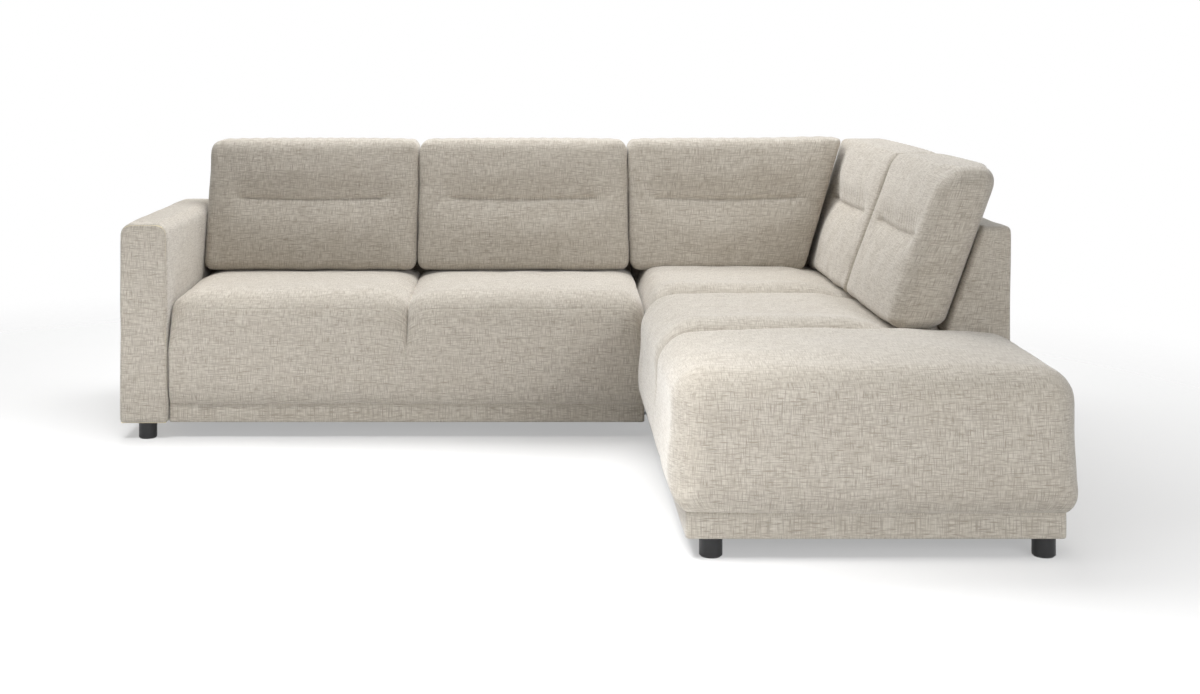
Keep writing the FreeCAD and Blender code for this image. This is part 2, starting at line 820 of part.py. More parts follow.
def arm():
    """Cover, pad and frame of the box arm."""
    wall = "Sizes.cover_wall"
    left = "Places.arm_x"
    right = "Places.arm_inner_x"
    front = "Places.sofa_front_y"
    rear = "Places.rear_y"
    outer = arm_block("ArmOuter", left, right, front, rear, "Sizes.foot_height",
                      "Sizes.arm_height", "Sizes.arm_round")
    inner = arm_block("ArmCavity", left + " + " + wall, right + " - " + wall,
                      front + " + " + wall, rear + " - " + wall, "Sizes.foot_height - 1",
                      "Sizes.arm_height - " + wall, "Sizes.arm_round - " + wall)
    keep(less(outer, inner), "arm_cover")
    gap = "Sizes.cover_wall + Sizes.fit"
    pad = 16
    reach = "%s + %d" % (gap, pad)
    pad_outer = arm_block("ArmPad", "%s + %s" % (left, gap), "%s - (%s)" % (right, gap),
                          "%s + %s" % (front, gap), "%s - (%s)" % (rear, gap),
                          "Places.frame_foot_z", "Sizes.arm_height - (%s)" % gap,
                          "Sizes.arm_round - (%s)" % gap)
    hollow = block("%s + %s" % (left, reach), "%s - (%s)" % (right, reach),
                   "%s + %s" % (front, reach), "%s - (%s)" % (rear, reach),
                   "Places.frame_foot_z - 1", "Sizes.arm_height - (%s)" % reach)
    keep(less(pad_outer, hollow), "arm_pad")
    inside = reach + " + Sizes.fit"
    x0 = "%s + %s" % (left, inside)
    x1 = "%s - (%s)" % (right, inside)
    y0 = "%s + %s" % (front, inside)
    y1 = "%s - (%s)" % (rear, inside)
    z0 = "Places.frame_foot_z"
    z1 = "Sizes.arm_height - (%s)" % inside
    board = "Sizes.board"
    middle = "(%s + %s) / 2" % (front, rear)
    boards = [
        block(x0, x1, y0, y0 + " + " + board, z0, z1),
        block(x0, x1, y1 + " - " + board, y1, z0, z1),
        block(x0, x1, middle + " - Sizes.board / 2", middle + " + Sizes.board / 2", z0, z1),
        block(x0, x1, y0, y1, z1 + " - " + board, z1),
        block(x0, x1, y0, y1, z0, z0 + " + Sizes.sill_height"),
    ]
    keep(less(joined(boards), bolt_holes(ARM_FEET)), "arm_frame")


# Frames of the seats

def seat_frame(name, x0, x1, y0, y1, cross_x, cross_y, spots):
    """A box of boards with cross boards below the webbing and pads over the feet."""
    z0 = "Places.frame_foot_z"
    z1 = "Sizes.frame_top"
    board = "Sizes.board"
    boards = [
        block(x0, x1, y0, y0 + " + " + board, z0, z1),
        block(x0, x1, y1 + " - " + board, y1, z0, z1),
        block(x0, x0 + " + " + board, y0, y1, z0, z1),
        block(x1 + " - " + board, x1, y0, y1, z0, z1),
    ]
    for x in cross_x:
        boards.append(block(x + " - 11", x + " + 11", y0, y1, z0, z1 + " - 40"))
    for y in cross_y:
        boards.append(block(x0, x1, y + " - 11", y + " + 11", z0, z1 + " - 40"))
    trimmed = within(boards + foot_pads(spots), block(x0, x1, y0, y1, z0, z1))
    return keep(less(trimmed, bolt_holes(spots)), name)


def sofa_frame_limits():
    """The limits of the two-seat module's frame, as formulas."""
    wall = "Sizes.rest + Sizes.plinth_wall + Sizes.fit"
    return ("Places.arm_inner_x + " + wall, "Places.sofa_end_x - (%s)" % wall,
            "Places.sofa_front_y + Sizes.plinth_inset + Sizes.plinth_wall + Sizes.fit",
            "Places.back_face_y")


def corner_frame_limits():
    """The limits of the corner module's frame beside its backs, as formulas."""
    wall = "Sizes.plinth_wall + Sizes.fit"
    return ("Places.plinth_left_x + " + wall, "Places.side_face_x",
            "Places.front_y + Sizes.plinth_inset + " + wall, "Places.back_face_y")


def end_frame_limits():
    """The limits of the end seat's frame on the side back's side, as formulas."""
    wall = "Sizes.plinth_wall + Sizes.fit"
    return ("Places.side_face_x", "Places.plinth_right_x - (%s)" % wall,
            "Places.front_y + Sizes.plinth_inset + " + wall,
            "Places.end_seam_y - Sizes.cover_wall - 2 * Sizes.fit")


def end_seat_limits():
    """The limits of the whole end seat's frame, as formulas."""
    return (corner_frame_limits()[0], end_frame_limits()[1], end_frame_limits()[2],
            "Places.end_seam_y")


def seat_cover(outers, cavities, name):
    """A cover sewn over its seats: open below, and behind where a back joins."""
    outer = outers[0].fuse(outers[1:])
    inner = cavities[0].fuse(cavities[1:])
    return keep(solid(outer.cut(inner)), name)


def mouth(limits, behind):
    """The way over a frame and its webbing through a cover's seams, and out behind it."""
    x0, x1, y0, y1 = numbers(limits)
    grow = 0.9
    corner = FreeCAD.Vector(x0 - grow, y0 - grow, value("frame_foot_z"))
    top = evaluate(WEBBING_TOP) + 8
    return Part.makeBox(x1 - x0 + 2 * grow, y1 - y0 + grow + behind, top - corner.z, corner)


def numbers(limits):
    """Formulas of limits as numbers."""
    return [evaluate(limit) for limit in limits]


WEBBING_TOP = "Sizes.frame_top + 2 * Sizes.strap_thickness + 2.5 * Sizes.rest"


def sofa_module():
    """Frame, webbing, foam and cover of the two-seat module."""
    limits = sofa_frame_limits()
    seat_frame("sofa_seat_frame", *limits, ["Places.seam_x"], [], ("sofa_front",))
    low_x, high_x, low_y, high_y = numbers(limits)
    webbing(low_x, high_x, low_y, high_y, True, "sofa_seat_webbing")
    wall = value("cover_wall")
    foot_z = value("cover_foot_z")
    outers = sofa_seats(sofa_seat, foot_z)
    cavities = sofa_seats(sofa_seat_core, wall, foot_z - 10)
    seat_cover(outers, cavities + [mouth(limits, 5)], "sofa_seat_cover")
    blocks = sofa_seats(sofa_seat_core, wall + value("fit"), evaluate(WEBBING_TOP))
    for block_shape, side in zip(blocks, ("left", "right")):
        keep(solid(block_shape), "sofa_seat_foam_" + side)


def corner_module():
    """Frames, webbing, foam and cover of the corner module's three seats."""
    limits = corner_frame_limits()
    end_limits = end_frame_limits()
    seat_frame("corner_seat_frame", *limits, [],
               ["Places.end_seam_y + Sizes.board", "Places.sofa_front_y"],
               ("end_left", "middle_left"))
    seat_frame("end_seat_frame", *end_limits, [], [], ("end_right",))
    low_x, high_x, low_y, high_y = numbers(limits)
    webbing(low_y, high_y, low_x, high_x, False, "corner_seat_webbing")
    wall = value("cover_wall")
    foot_z = value("cover_foot_z")
    outers = corner_seats(foot_z)
    cavities = corner_cores(wall, foot_z - 10)
    ways = [mouth(limits, 5), mouth(end_limits, 0.9)]
    seat_cover(outers, cavities + ways, "corner_seat_cover")
    blocks = corner_cores(wall + value("fit"), evaluate(WEBBING_TOP))
    for block_shape, part in zip(blocks, ("rear", "middle", "end")):
        keep(solid(block_shape), "corner_seat_foam_" + part)


# Plinth bands and dust covers

def plinth_band(name, x0, x1, y0, y1):
    """A padded band round the foot of a module."""
    wall = "Sizes.plinth_wall"
    z0 = "Sizes.foot_height"
    z1 = "Places.groove_z"
    outer = block(x0, x1, y0, y1, z0, z1)
    inner = block("%s + %s" % (x0, wall), "%s - %s" % (x1, wall), "%s + %s" % (y0, wall),
                  "%s - %s" % (y1, wall), z0 + " - 1", z1 + " + 1")
    return keep(less(outer, inner), name)


def dust_cover(name, x0, x1, y0, y1, spots):
    """A thin cloth under a frame, inside the plinth band, cut out round the bolts."""
    gap = "Sizes.plinth_wall + Sizes.fit"
    low = "Places.frame_foot_z - Sizes.rest - 1.2"
    cuts = [block("%s - 8" % x, "%s + 8" % x, "%s - 8" % y, "%s + 8" % y, low + " - 1",
                  low + " + 3") for spot, x, y in foot_spots() if spot in spots]
    sheet = block("%s + %s" % (x0, gap), "%s - (%s)" % (x1, gap), "%s + %s" % (y0, gap),
                  "%s - (%s)" % (y1, gap), low, low + " + 1.2")
    return keep(less(sheet, joined(cuts)), name)


# Backs

def back_corners(inset, foot, base):
    """A back's outline: a foot, a wall outside at zero, and a leaning face, in (depth, z)."""
    top = "(Sizes.back_height - %s)" % inset
    deep = "(%s - %s)" % (base, inset)
    brow = "(%s - Places.back_run * (Places.back_rise - %s))" % (deep, inset)
    return [
        (inset, foot),
        (deep, foot),
        (deep, "Sizes.seat_height"),
        (brow, top),
        (inset, top),
    ]


def rear_back(name, x0, x1, inset, foot, rounded):
    """A back along X whose outside is the sofa's rear."""
    pairs = back_corners(inset, foot, "Sizes.back_depth")
    corners = [("Places.rear_y - (%s)" % depth, z) for depth, z in pairs]
    rounds = [(3, "Sizes.back_round - %s" % inset), (4, "Sizes.back_round - %s" % inset)]
    body = padded(name, "YZ_Plane", corners, "(%s) - (%s)" % (x1, x0), rounds if rounded else ())
    return place(body, x0, "0", "0")


def side_back(name, y0, y1, inset, foot, rounded):
    """A back along Y whose outside is the sofa's right side."""
    pairs = back_corners(inset, foot, "Sizes.side_back_depth")
    corners = [("Places.corner_end_x - (%s)" % depth, z) for depth, z in pairs]
    rounds = [(3, "Sizes.back_round - %s" % inset), (4, "Sizes.back_round - %s" % inset)]
    body = padded(name, "XZ_Plane", corners, "(%s) - (%s)" % (y1, y0), rounds if rounded else ())
    return place(body, "0", y0, "0")


def uprights(maker, x0, x1):
    """Boards cut to a back's lean, evenly spread between two limits."""
    inset = "(Sizes.cover_wall + Sizes.fit + 14)"
    foot = "Places.frame_foot_z"
    board = "Sizes.board"
    count = 4
    pieces = []
    for index in range(count):
        start = "%s + (%s - (%s) - %s) * %d / %d" % (x0, x1, x0, board, index, count - 1)
        pieces.append(maker("Upright", start, "%s + %s" % (start, board), inset, foot, False))
    return pieces


def rear_back_set(prefix, x0, x1, inner_x0, inner_x1, spots):
    """Cover and frame of a back along X."""
    wall = "Sizes.cover_wall"
    outer = rear_back("Outer", x0, x1, "0", "Places.cover_foot_z", True)
    cavity = rear_back("Cavity", "%s + %s" % (x0, wall), "%s - %s" % (x1, wall), wall,
                       "Places.cover_foot_z - 5", True)
    mouth = block("%s + %s" % (x0, wall), "%s - %s" % (x1, wall), "Places.back_face_y - 5",
                  "Places.back_face_y + 20", "Places.cover_foot_z - 5", "Sizes.frame_top")
    keep(less(outer, joined([cavity, mouth])), prefix + "_cover")
    pieces = uprights(rear_back, inner_x0, inner_x1)
    rear = "Places.rear_y - Sizes.plinth_inset - Sizes.plinth_wall - Sizes.fit"
    face = "Places.back_face_y"
    board = "Sizes.board"
    foot = "Places.frame_foot_z"
    pieces += [
        block(inner_x0, inner_x1, face, face + " + " + board, foot, "Sizes.frame_top - 5"),
        block(inner_x0, inner_x1, rear + " - " + board, rear, foot, foot + " + 90"),
        block(inner_x0, inner_x1, "Places.rear_y - 46", "Places.rear_y - 24",
              "Sizes.back_height - 70", "Sizes.back_height - 24"),
    ]
    slab = block(inner_x0, inner_x1, face + " - 50", rear, foot, "Sizes.back_height")
    keep(less(within(pieces + foot_pads(spots), slab), bolt_holes(spots)), prefix + "_frame")


def side_back_set(prefix, y0, y1, spots):
    """Cover and frame of the back along Y, its rear end cut to the rear back's lean."""
    wall = "Sizes.cover_wall"
    corner_x0 = "Places.corner_x + Sizes.fit"
    far = "Places.rear_y"
    outer = side_back("Outer", y0, far, "0", "Places.cover_foot_z", True)
    other = rear_back("Other", corner_x0, "Places.corner_end_x + 5", "(0 - Sizes.fit)",
                      "Places.cover_foot_z - 20", False)
    cavity = side_back("Cavity", "%s + %s" % (y0, wall), far, wall, "Places.cover_foot_z - 5",
                       True)
    stop = rear_back("Stop", corner_x0, "Places.corner_end_x + 5", "(0 - Sizes.fit - %s)" % wall,
                     "Places.cover_foot_z - 20", False)
    mouth = block("Places.side_face_x - 5", "Places.side_face_x + 20", "%s + %s" % (y0, wall),
                  "Places.back_face_y - Sizes.cover_wall - Sizes.fit",
                  "Places.cover_foot_z - 5", "Sizes.frame_top")
    keep(less(less(outer, other), joined([less(cavity, stop), mouth])), prefix + "_cover")
    inner_y0 = "%s + %s + Sizes.fit" % (y0, wall)
    inner_y1 = "Places.back_face_y - Sizes.cover_wall - 2 * Sizes.fit"
    pieces = uprights(side_back, inner_y0, inner_y1)
    outside = "Places.plinth_right_x - Sizes.plinth_wall - Sizes.fit"
    face = "Places.side_face_x"
    board = "Sizes.board"
    foot = "Places.frame_foot_z"
    pieces += [
        block(face, face + " + " + board, inner_y0, inner_y1, foot, "Sizes.frame_top - 5"),
        block(outside + " - " + board, outside, inner_y0, inner_y1, foot, foot + " + 90"),
        block("Places.corner_end_x - 46", "Places.corner_end_x - 24", inner_y0, inner_y1,
              "Sizes.back_height - 70", "Sizes.back_height - 24"),
    ]
    slab = block(face + " - 50", outside, inner_y0, inner_y1, foot, "Sizes.back_height")
    keep(less(within(pieces + foot_pads(spots), slab), bolt_holes(spots)), prefix + "_frame")


# Connectors between the modules

def connectors():
    """A hook plate under one module drops into a catch plate under the other, twice."""
    top = "Places.frame_foot_z - 1.2 - 2 * Sizes.rest"
    low_z = "%s - Sizes.hook_plate" % top
    lip = "%s - 3 * Sizes.hook_plate" % top
    hooks = []
    catches = []
    x1 = "Places.plinth_left_x + Sizes.plinth_wall + Sizes.hook_reach"
    for y in ("(Places.sofa_front_y + 180)", "(Places.back_face_y - 120)"):
        low = "%s - Sizes.hook_width / 2" % y
        high = "%s + Sizes.hook_width / 2" % y
        slot = x1 + " - Sizes.hook_plate"
        plate = block("Places.plinth_left_x + Sizes.plinth_wall + 4", x1 + " + 30",
                      low, high, low_z, top)
        opening = block(slot + " - Sizes.play", x1 + " + Sizes.play", low + " + 6", high + " - 6",
                        lip, top + " + 1")
        catches.append(less(plate, opening))
        arm_z = "%s - Sizes.hook_plate - Sizes.rest" % low_z
        bar = block("Places.sofa_end_x - 70", x1, low + " + 8", high + " - 8", arm_z,
                    low_z + " - Sizes.rest")
        tooth = block(slot, x1, low + " + 8", high + " - 8", arm_z, top + " - Sizes.rest")
        spacer = block("Places.sofa_end_x - 70", "Places.sofa_end_x - 20", low, high,
                       low_z + " - Sizes.rest", top)
        hooks.append(joined([bar, tooth, spacer]))
    keep(group(hooks), "connector_hooks")
    keep(group(catches), "connector_catches")


def build():
    """Every sub-part of the sofa."""
    feet()
    arm()
    sofa_module()
    corner_module()
    inset = "Sizes.plinth_inset"
    plinth_band("sofa_plinth_band", "Places.arm_inner_x + Sizes.rest", "Places.sofa_end_x",
                "Places.sofa_front_y + " + inset, "Places.rear_y - " + inset)
    plinth_band("corner_plinth_band", "Places.plinth_left_x", "Places.plinth_right_x",
                "Places.front_y + " + inset, "Places.rear_y - " + inset)
    dust_cover("sofa_dust_cover", "Places.arm_inner_x + Sizes.rest", "Places.sofa_end_x",
               "Places.sofa_front_y + " + inset, "Places.rear_y - " + inset, SOFA_FEET)
    dust_cover("corner_dust_cover", "Places.plinth_left_x", "Places.plinth_right_x",
               "Places.front_y + " + inset, "Places.rear_y - " + inset, CORNER_FEET)
    wall = "Sizes.plinth_wall - Sizes.fit"
    rear_back_set("sofa_back", "Places.arm_inner_x + Sizes.rest", "Places.sofa_end_x",
                  *sofa_frame_limits()[:2], ("sofa_rear",))
    rear_back_set("corner_back", "Places.corner_x", "Places.corner_end_x",
                  corner_frame_limits()[0], "Places.plinth_right_x - " + wall,
                  ("corner_left", "corner_right"))
    side_back_set("side_back", "Places.end_seam_y", "Places.back_face_y", ("middle_right",))
    connectors()
    cushions()


def cushions():
    """Three cushions along the rear back and two along the side back, which meet at a lean."""
    gap = value("cushion_gap")
    wide = value("cushion_width")
    first = value("arm_inner_x") + value("rest") + 4
    second = first + wide + gap
    third = second + wide + gap
    corner = value("cushion_front_x") - gap / 2
    cushion(1, first, first + wide, (0, 0), True)
    cushion(2, second, second + wide, (0, 0), True)
    cushion(3, third, corner, (0, 1), True)
    turn = value("sofa_front_y")
    cushion(4, turn + gap / 2, value("back_face_y") - value("play"), (0, 1), False)
    cushion(5, value("end_seam_y") + 3, turn - gap / 2, (0, 0), False)


build()
doc.recompute()

for feature in doc.Objects:
    if "Invalid" in feature.State or "Error" in feature.State:
        raise RuntimeError("%s failed: %s" % (feature.Label, feature.State))
for feature in nodes:
    if feature.Shape.isNull() or not feature.Shape.isValid() or not feature.Shape.Solids:
        raise RuntimeError("%s has no valid solid" % feature.Label)

os.makedirs("parts", exist_ok=True)
for feature in nodes:
    feature.Shape.exportStep("parts/%s.step" % feature.Label)
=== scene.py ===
import json
import math

import bpy
import numpy as np
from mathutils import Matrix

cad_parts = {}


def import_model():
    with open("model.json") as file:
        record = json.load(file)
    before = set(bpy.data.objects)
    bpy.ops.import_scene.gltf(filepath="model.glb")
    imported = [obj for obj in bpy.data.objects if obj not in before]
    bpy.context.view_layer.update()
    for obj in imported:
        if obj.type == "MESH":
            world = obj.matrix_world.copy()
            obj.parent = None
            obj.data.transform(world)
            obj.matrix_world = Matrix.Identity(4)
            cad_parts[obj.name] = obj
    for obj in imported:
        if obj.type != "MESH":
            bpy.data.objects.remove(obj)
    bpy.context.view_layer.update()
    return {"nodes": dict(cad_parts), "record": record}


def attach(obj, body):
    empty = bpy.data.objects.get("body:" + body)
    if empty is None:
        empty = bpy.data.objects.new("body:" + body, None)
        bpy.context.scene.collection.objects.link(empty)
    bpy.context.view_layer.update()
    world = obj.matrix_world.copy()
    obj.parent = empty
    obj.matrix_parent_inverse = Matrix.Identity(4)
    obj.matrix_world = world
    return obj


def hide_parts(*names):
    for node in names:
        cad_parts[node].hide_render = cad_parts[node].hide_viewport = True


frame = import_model()

# Places in the sofa, in millimetres, as its frame has them: lowest and highest corners first.
# The seats' lower edges stand 6 mm inside the plinths.

ARM = ((-1313.0, 195.0, 50.0), (-1163.2, 1080.0, 680.0))
SOFA_SEAT = ((-1162.4, 195.0, 109.0), (342.8, 919.4, 455.0))
MIDDLE_SEAT = ((316.0, -499.7, 109.0), (1118.6, 919.4, 455.0))
END_SEAT = ((315.8, -1080.0, 109.0), (1313.0, -500.3, 455.0))
SOFA_PLINTH = ((-1162.7, 219.0, 50.0), (342.8, 1056.0, 115.0))
CORNER_PLINTH = ((355.0, -1056.0, 50.0), (1274.0, 1056.0, 115.0))
SEAT_SEAM_X = -409.8
CORNER_SEAM_Y = 195.0
SEAT_TOP = 455.0
BACK_TOP = 742.0
REAR_Y = 1080.0
BACK_FACE_Y = 920.0
SIDE_FACE_X = 1119.0
SIDE_OUT_X = 1298.0
LEAN_RUN = math.tan(math.radians(20))
CUSHION_FOOT = 455.8
CUSHION_TALL = 452.0
CUSHION_DEEP = 168.0
REAR_CUSHION_Y = 751.6
SIDE_CUSHION_X = 950.6


# Colours and node trees

def linear(code):
    """An sRGB hex colour as linear red, green, blue and alpha."""
    parts = [int(code[i:i + 2], 16) / 255 for i in (1, 3, 5)]
    return [p / 12.92 if p <= 0.04045 else ((p + 0.055) / 1.055) ** 2.4 for p in parts] + [1.0]


def node(tree, kind, inputs=None, **settings):
    """A shader node with its settings; an input is a value or another node's socket."""
    made = tree.nodes.new("ShaderNode" + kind)
    for name, setting in settings.items():
        setattr(made, name, setting)
    for key, given in (inputs or {}).items():
        if isinstance(given, bpy.types.NodeSocket):
            tree.links.new(given, made.inputs[key])
        else:
            made.inputs[key].default_value = given
    return made


def material(name):
    """A new material with its tree, its principled shader and nothing else."""
    made = bpy.data.materials.new(name)
    made.use_nodes = True
    return made, made.node_tree, made.node_tree.nodes["Principled BSDF"]


def link(tree, shader, colour, bump=None):
    """Joins a colour, and a bump where there is one, to the shader."""
    tree.links.new(colour, shader.inputs["Base Color"])
    if bump is not None:
        tree.links.new(bump.outputs["Normal"], shader.inputs["Normal"])


def thread_noise(tree, coordinates, across, along, turned, seed):
    """Noise drawn out into threads: across and along are a thread's width and length in metres."""
    width, length = 1 / across, 1 / along
    scale = (length, width, 1.0) if turned else (width, length, 1.0)
    mapped = node(tree, "Mapping", {"Vector": coordinates, "Scale": scale,
                                    "Location": (seed, seed * 0.37, seed * 1.3)})
    grain = node(tree, "TexNoise", {"Vector": mapped.outputs["Vector"], "Scale": 1.0, "Detail": 1.0,
                                    "Roughness": 0.6})
    return grain.outputs["Fac"]


def linen_weave():
    """Linen-look upholstery weave: uneven slub threads, some darker, both ways of the cloth.

    The eye sees a warm beige with short brown and pale dashes that cross. A real thread is
    about 1.2 mm wide; it is drawn 2.4 mm wide so that it shows at the picture's size.
    """
    made, tree, shader = material("linen_weave")
    where = node(tree, "UVMap", uv_map="Weave").outputs["UV"]
    warp = thread_noise(tree, where, 0.0024, 0.030, False, 3.0)
    weft = thread_noise(tree, where, 0.0024, 0.027, True, 11.0)
    slub_warp = thread_noise(tree, where, 0.0050, 0.085, False, 23.0)
    slub_weft = thread_noise(tree, where, 0.0050, 0.095, True, 31.0)
    cloud = node(tree, "TexNoise", {"Vector": where, "Scale": 9.0, "Detail": 3.0, "Roughness": 0.6})
    # pale base cloth, then the darker threads of each way over it
    dark_warp = node(tree, "MapRange", {"Value": warp, "From Min": 0.50, "From Max": 0.70,
                                        "To Max": 0.6})
    dark_weft = node(tree, "MapRange", {"Value": weft, "From Min": 0.50, "From Max": 0.70,
                                        "To Max": 0.6})
    slubs = node(tree, "Math", {0: slub_warp, 1: slub_weft}, operation="MAXIMUM")
    dark_slub = node(tree, "MapRange", {"Value": slubs.outputs[0], "From Min": 0.60,
                                        "From Max": 0.76, "To Max": 0.4})
    dark = node(tree, "Math", {0: dark_warp.outputs[0], 1: dark_weft.outputs[0]},
                operation="MAXIMUM")
    dark = node(tree, "Math", {0: dark.outputs[0], 1: dark_slub.outputs[0]}, operation="MAXIMUM")
    paled = node(tree, "Math", {0: warp, 1: weft}, operation="MINIMUM")
    pale = node(tree, "MapRange", {"Value": paled.outputs[0], "From Min": 0.30, "From Max": 0.46})
    ground = node(tree, "Mix", {"Factor": pale.outputs[0], "A": linear("#D6D0C5"),
                                "B": linear("#C8C1B5")}, data_type="RGBA")
    threads = node(tree, "Mix", {"Factor": dark.outputs[0], "A": ground.outputs["Result"],
                                 "B": linear("#8A7D6E")}, data_type="RGBA")
    clouded = node(tree, "MapRange", {"Value": cloud.outputs["Fac"], "From Min": 0.3,
                                      "From Max": 0.7, "To Max": 0.16})
    colour = node(tree, "Mix", {"Factor": clouded.outputs[0], "A": threads.outputs["Result"],
                                "B": linear("#B9AF9F")}, data_type="RGBA")
    height = node(tree, "Math", {0: warp, 1: weft}, operation="ADD")
    height = node(tree, "Math", {0: height.outputs[0], 1: slubs.outputs[0]}, operation="ADD")
    bump = node(tree, "Bump", {"Height": height.outputs[0], "Strength": 0.55, "Distance": 0.0012})
    shader.inputs["Roughness"].default_value = 0.92
    shader.inputs["Specular IOR Level"].default_value = 0.25
    shader.inputs["Sheen Weight"].default_value = 0.45
    shader.inputs["Sheen Roughness"].default_value = 0.5
    link(tree, shader, colour.outputs["Result"], bump)
    return made


def black_polypropylene():
    """Moulded black polypropylene: near black, with a satin gloss and a fine sparked grain."""
    made, tree, shader = material("black_polypropylene")
    where = node(tree, "TexCoord").outputs["Object"]
    grain = node(tree, "TexNoise", {"Vector": where, "Scale": 1600.0, "Detail": 2.0})
    wear = node(tree, "TexNoise", {"Vector": where, "Scale": 60.0, "Detail": 4.0})
    tone = node(tree, "Mix", {"Factor": wear.outputs["Fac"], "A": linear("#161617"),
                              "B": linear("#232325")}, data_type="RGBA")
    gloss = node(tree, "MapRange", {"Value": wear.outputs["Fac"], "To Min": 0.36, "To Max": 0.5})
    bump = node(tree, "Bump", {"Height": grain.outputs["Fac"], "Strength": 0.15,
                               "Distance": 0.0003})
    tree.links.new(gloss.outputs[0], shader.inputs["Roughness"])
    shader.inputs["IOR"].default_value = 1.49
    link(tree, shader, tone.outputs["Result"], bump)
    return made


def spun_cloth():
    """Black spun-bonded polypropylene cloth: thin, dull, with a fine point-bonded pattern."""
    made, tree, shader = material("spun_cloth")
    where = node(tree, "TexCoord").outputs["Object"]
    fibres = node(tree, "TexNoise", {"Vector": where, "Scale": 700.0, "Detail": 4.0})
    points = node(tree, "TexVoronoi", {"Vector": where, "Scale": 420.0})
    tone = node(tree, "Mix", {"Factor": fibres.outputs["Fac"], "A": linear("#1C1C1D"),
                              "B": linear("#39393B")}, data_type="RGBA")
    bump = node(tree, "Bump", {"Height": points.outputs["Distance"], "Strength": 0.3,
                               "Distance": 0.0004})
    shader.inputs["Roughness"].default_value = 0.8
    link(tree, shader, tone.outputs["Result"], bump)
    return made


def cut_foam():
    """Cut polyurethane foam: cream and open-celled, dull all over."""
    made, tree, shader = material("cut_foam")
    where = node(tree, "TexCoord").outputs["Object"]
    cells = node(tree, "TexVoronoi", {"Vector": where, "Scale": 650.0})
    patch = node(tree, "TexNoise", {"Vector": where, "Scale": 14.0, "Detail": 3.0})
    tone = node(tree, "Mix", {"Factor": patch.outputs["Fac"], "A": linear("#EDE4C9"),
                              "B": linear("#E2D6B4")}, data_type="RGBA")
    bump = node(tree, "Bump", {"Height": cells.outputs["Distance"], "Strength": 0.5,
                               "Distance": 0.0006})
    shader.inputs["Roughness"].default_value = 0.95
    link(tree, shader, tone.outputs["Result"], bump)
    return made


def cotton_bag():
    """White cotton of a cushion's inner bag: a fine plain weave, faintly creased."""
    made, tree, shader = material("cotton_bag")
    where = node(tree, "TexCoord").outputs["Object"]
    creases = node(tree, "TexNoise", {"Vector": where, "Scale": 22.0, "Detail": 5.0})
    weave = node(tree, "TexNoise", {"Vector": where, "Scale": 900.0, "Detail": 1.0})
    tone = node(tree, "Mix", {"Factor": weave.outputs["Fac"], "A": linear("#F1EFE9"),
                              "B": linear("#DFDCD3")}, data_type="RGBA")
    bump = node(tree, "Bump", {"Height": creases.outputs["Fac"], "Strength": 0.4,
                               "Distance": 0.003})
    shader.inputs["Roughness"].default_value = 0.9
    link(tree, shader, tone.outputs["Result"], bump)
    return made


def sawn_pine():
    """Sawn pine boards: pale yellow with long grain and a rough cut face."""
    made, tree, shader = material("sawn_pine")
    where = node(tree, "TexCoord").outputs["Object"]
    drawn = node(tree, "Mapping", {"Vector": where, "Scale": (3.0, 45.0, 45.0)})
    grain = node(tree, "TexNoise", {"Vector": drawn.outputs["Vector"], "Scale": 4.0, "Detail": 6.0})
    tone = node(tree, "Mix", {"Factor": grain.outputs["Fac"], "A": linear("#B98E55"),
                              "B": linear("#E3C48E")}, data_type="RGBA")
    bump = node(tree, "Bump", {"Height": grain.outputs["Fac"], "Strength": 0.3,
                               "Distance": 0.0008})
    shader.inputs["Roughness"].default_value = 0.75
    link(tree, shader, tone.outputs["Result"], bump)
    return made


def elastic_webbing():
    """Woven elastic webbing: charcoal, with lengthwise rubber ribs about 3 mm apart."""
    made, tree, shader = material("elastic_webbing")
    where = node(tree, "TexCoord").outputs["Object"]
    ribs = node(tree, "TexNoise", {"Vector": where, "Scale": 330.0, "Detail": 1.0})
    tone = node(tree, "Mix", {"Factor": ribs.outputs["Fac"], "A": linear("#2B2825"),
                              "B": linear("#55504A")}, data_type="RGBA")
    bump = node(tree, "Bump", {"Height": ribs.outputs["Fac"], "Strength": 0.5,
                               "Distance": 0.0008})
    shader.inputs["Roughness"].default_value = 0.8
    link(tree, shader, tone.outputs["Result"], bump)
    return made


def zinc_plate():
    """Bright zinc plate on pressed steel: grey, with a blue-white haze and soft gloss."""
    made, tree, shader = material("zinc_plate")
    where = node(tree, "TexCoord").outputs["Object"]
    haze = node(tree, "TexNoise", {"Vector": where, "Scale": 120.0, "Detail": 4.0})
    tone = node(tree, "Mix", {"Factor": haze.outputs["Fac"], "A": linear("#A9ADB0"),
                              "B": linear("#C9CDD1")}, data_type="RGBA")
    gloss = node(tree, "MapRange", {"Value": haze.outputs["Fac"], "To Min": 0.28, "To Max": 0.45})
    tree.links.new(gloss.outputs[0], shader.inputs["Roughness"])
    shader.inputs["Metallic"].default_value = 1.0
    link(tree, shader, tone.outputs["Result"])
    return made


def zip_tape():
    """Polyester zip tape with nylon coils: a darker beige, ribbed about every 1.5 mm."""
    made, tree, shader = material("zip_tape")
    where = node(tree, "TexCoord").outputs["Object"]
    coils = node(tree, "TexWave", {"Vector": where, "Scale": 110.0, "Distortion": 0.4})
    tone = node(tree, "Mix", {"Factor": coils.outputs["Fac"], "A": linear("#7D7364"),
                              "B": linear("#A3998A")}, data_type="RGBA")
    bump = node(tree, "Bump", {"Height": coils.outputs["Fac"], "Strength": 0.6,
                               "Distance": 0.0006})
    shader.inputs["Roughness"].default_value = 0.6
    link(tree, shader, tone.outputs["Result"], bump)
    return made


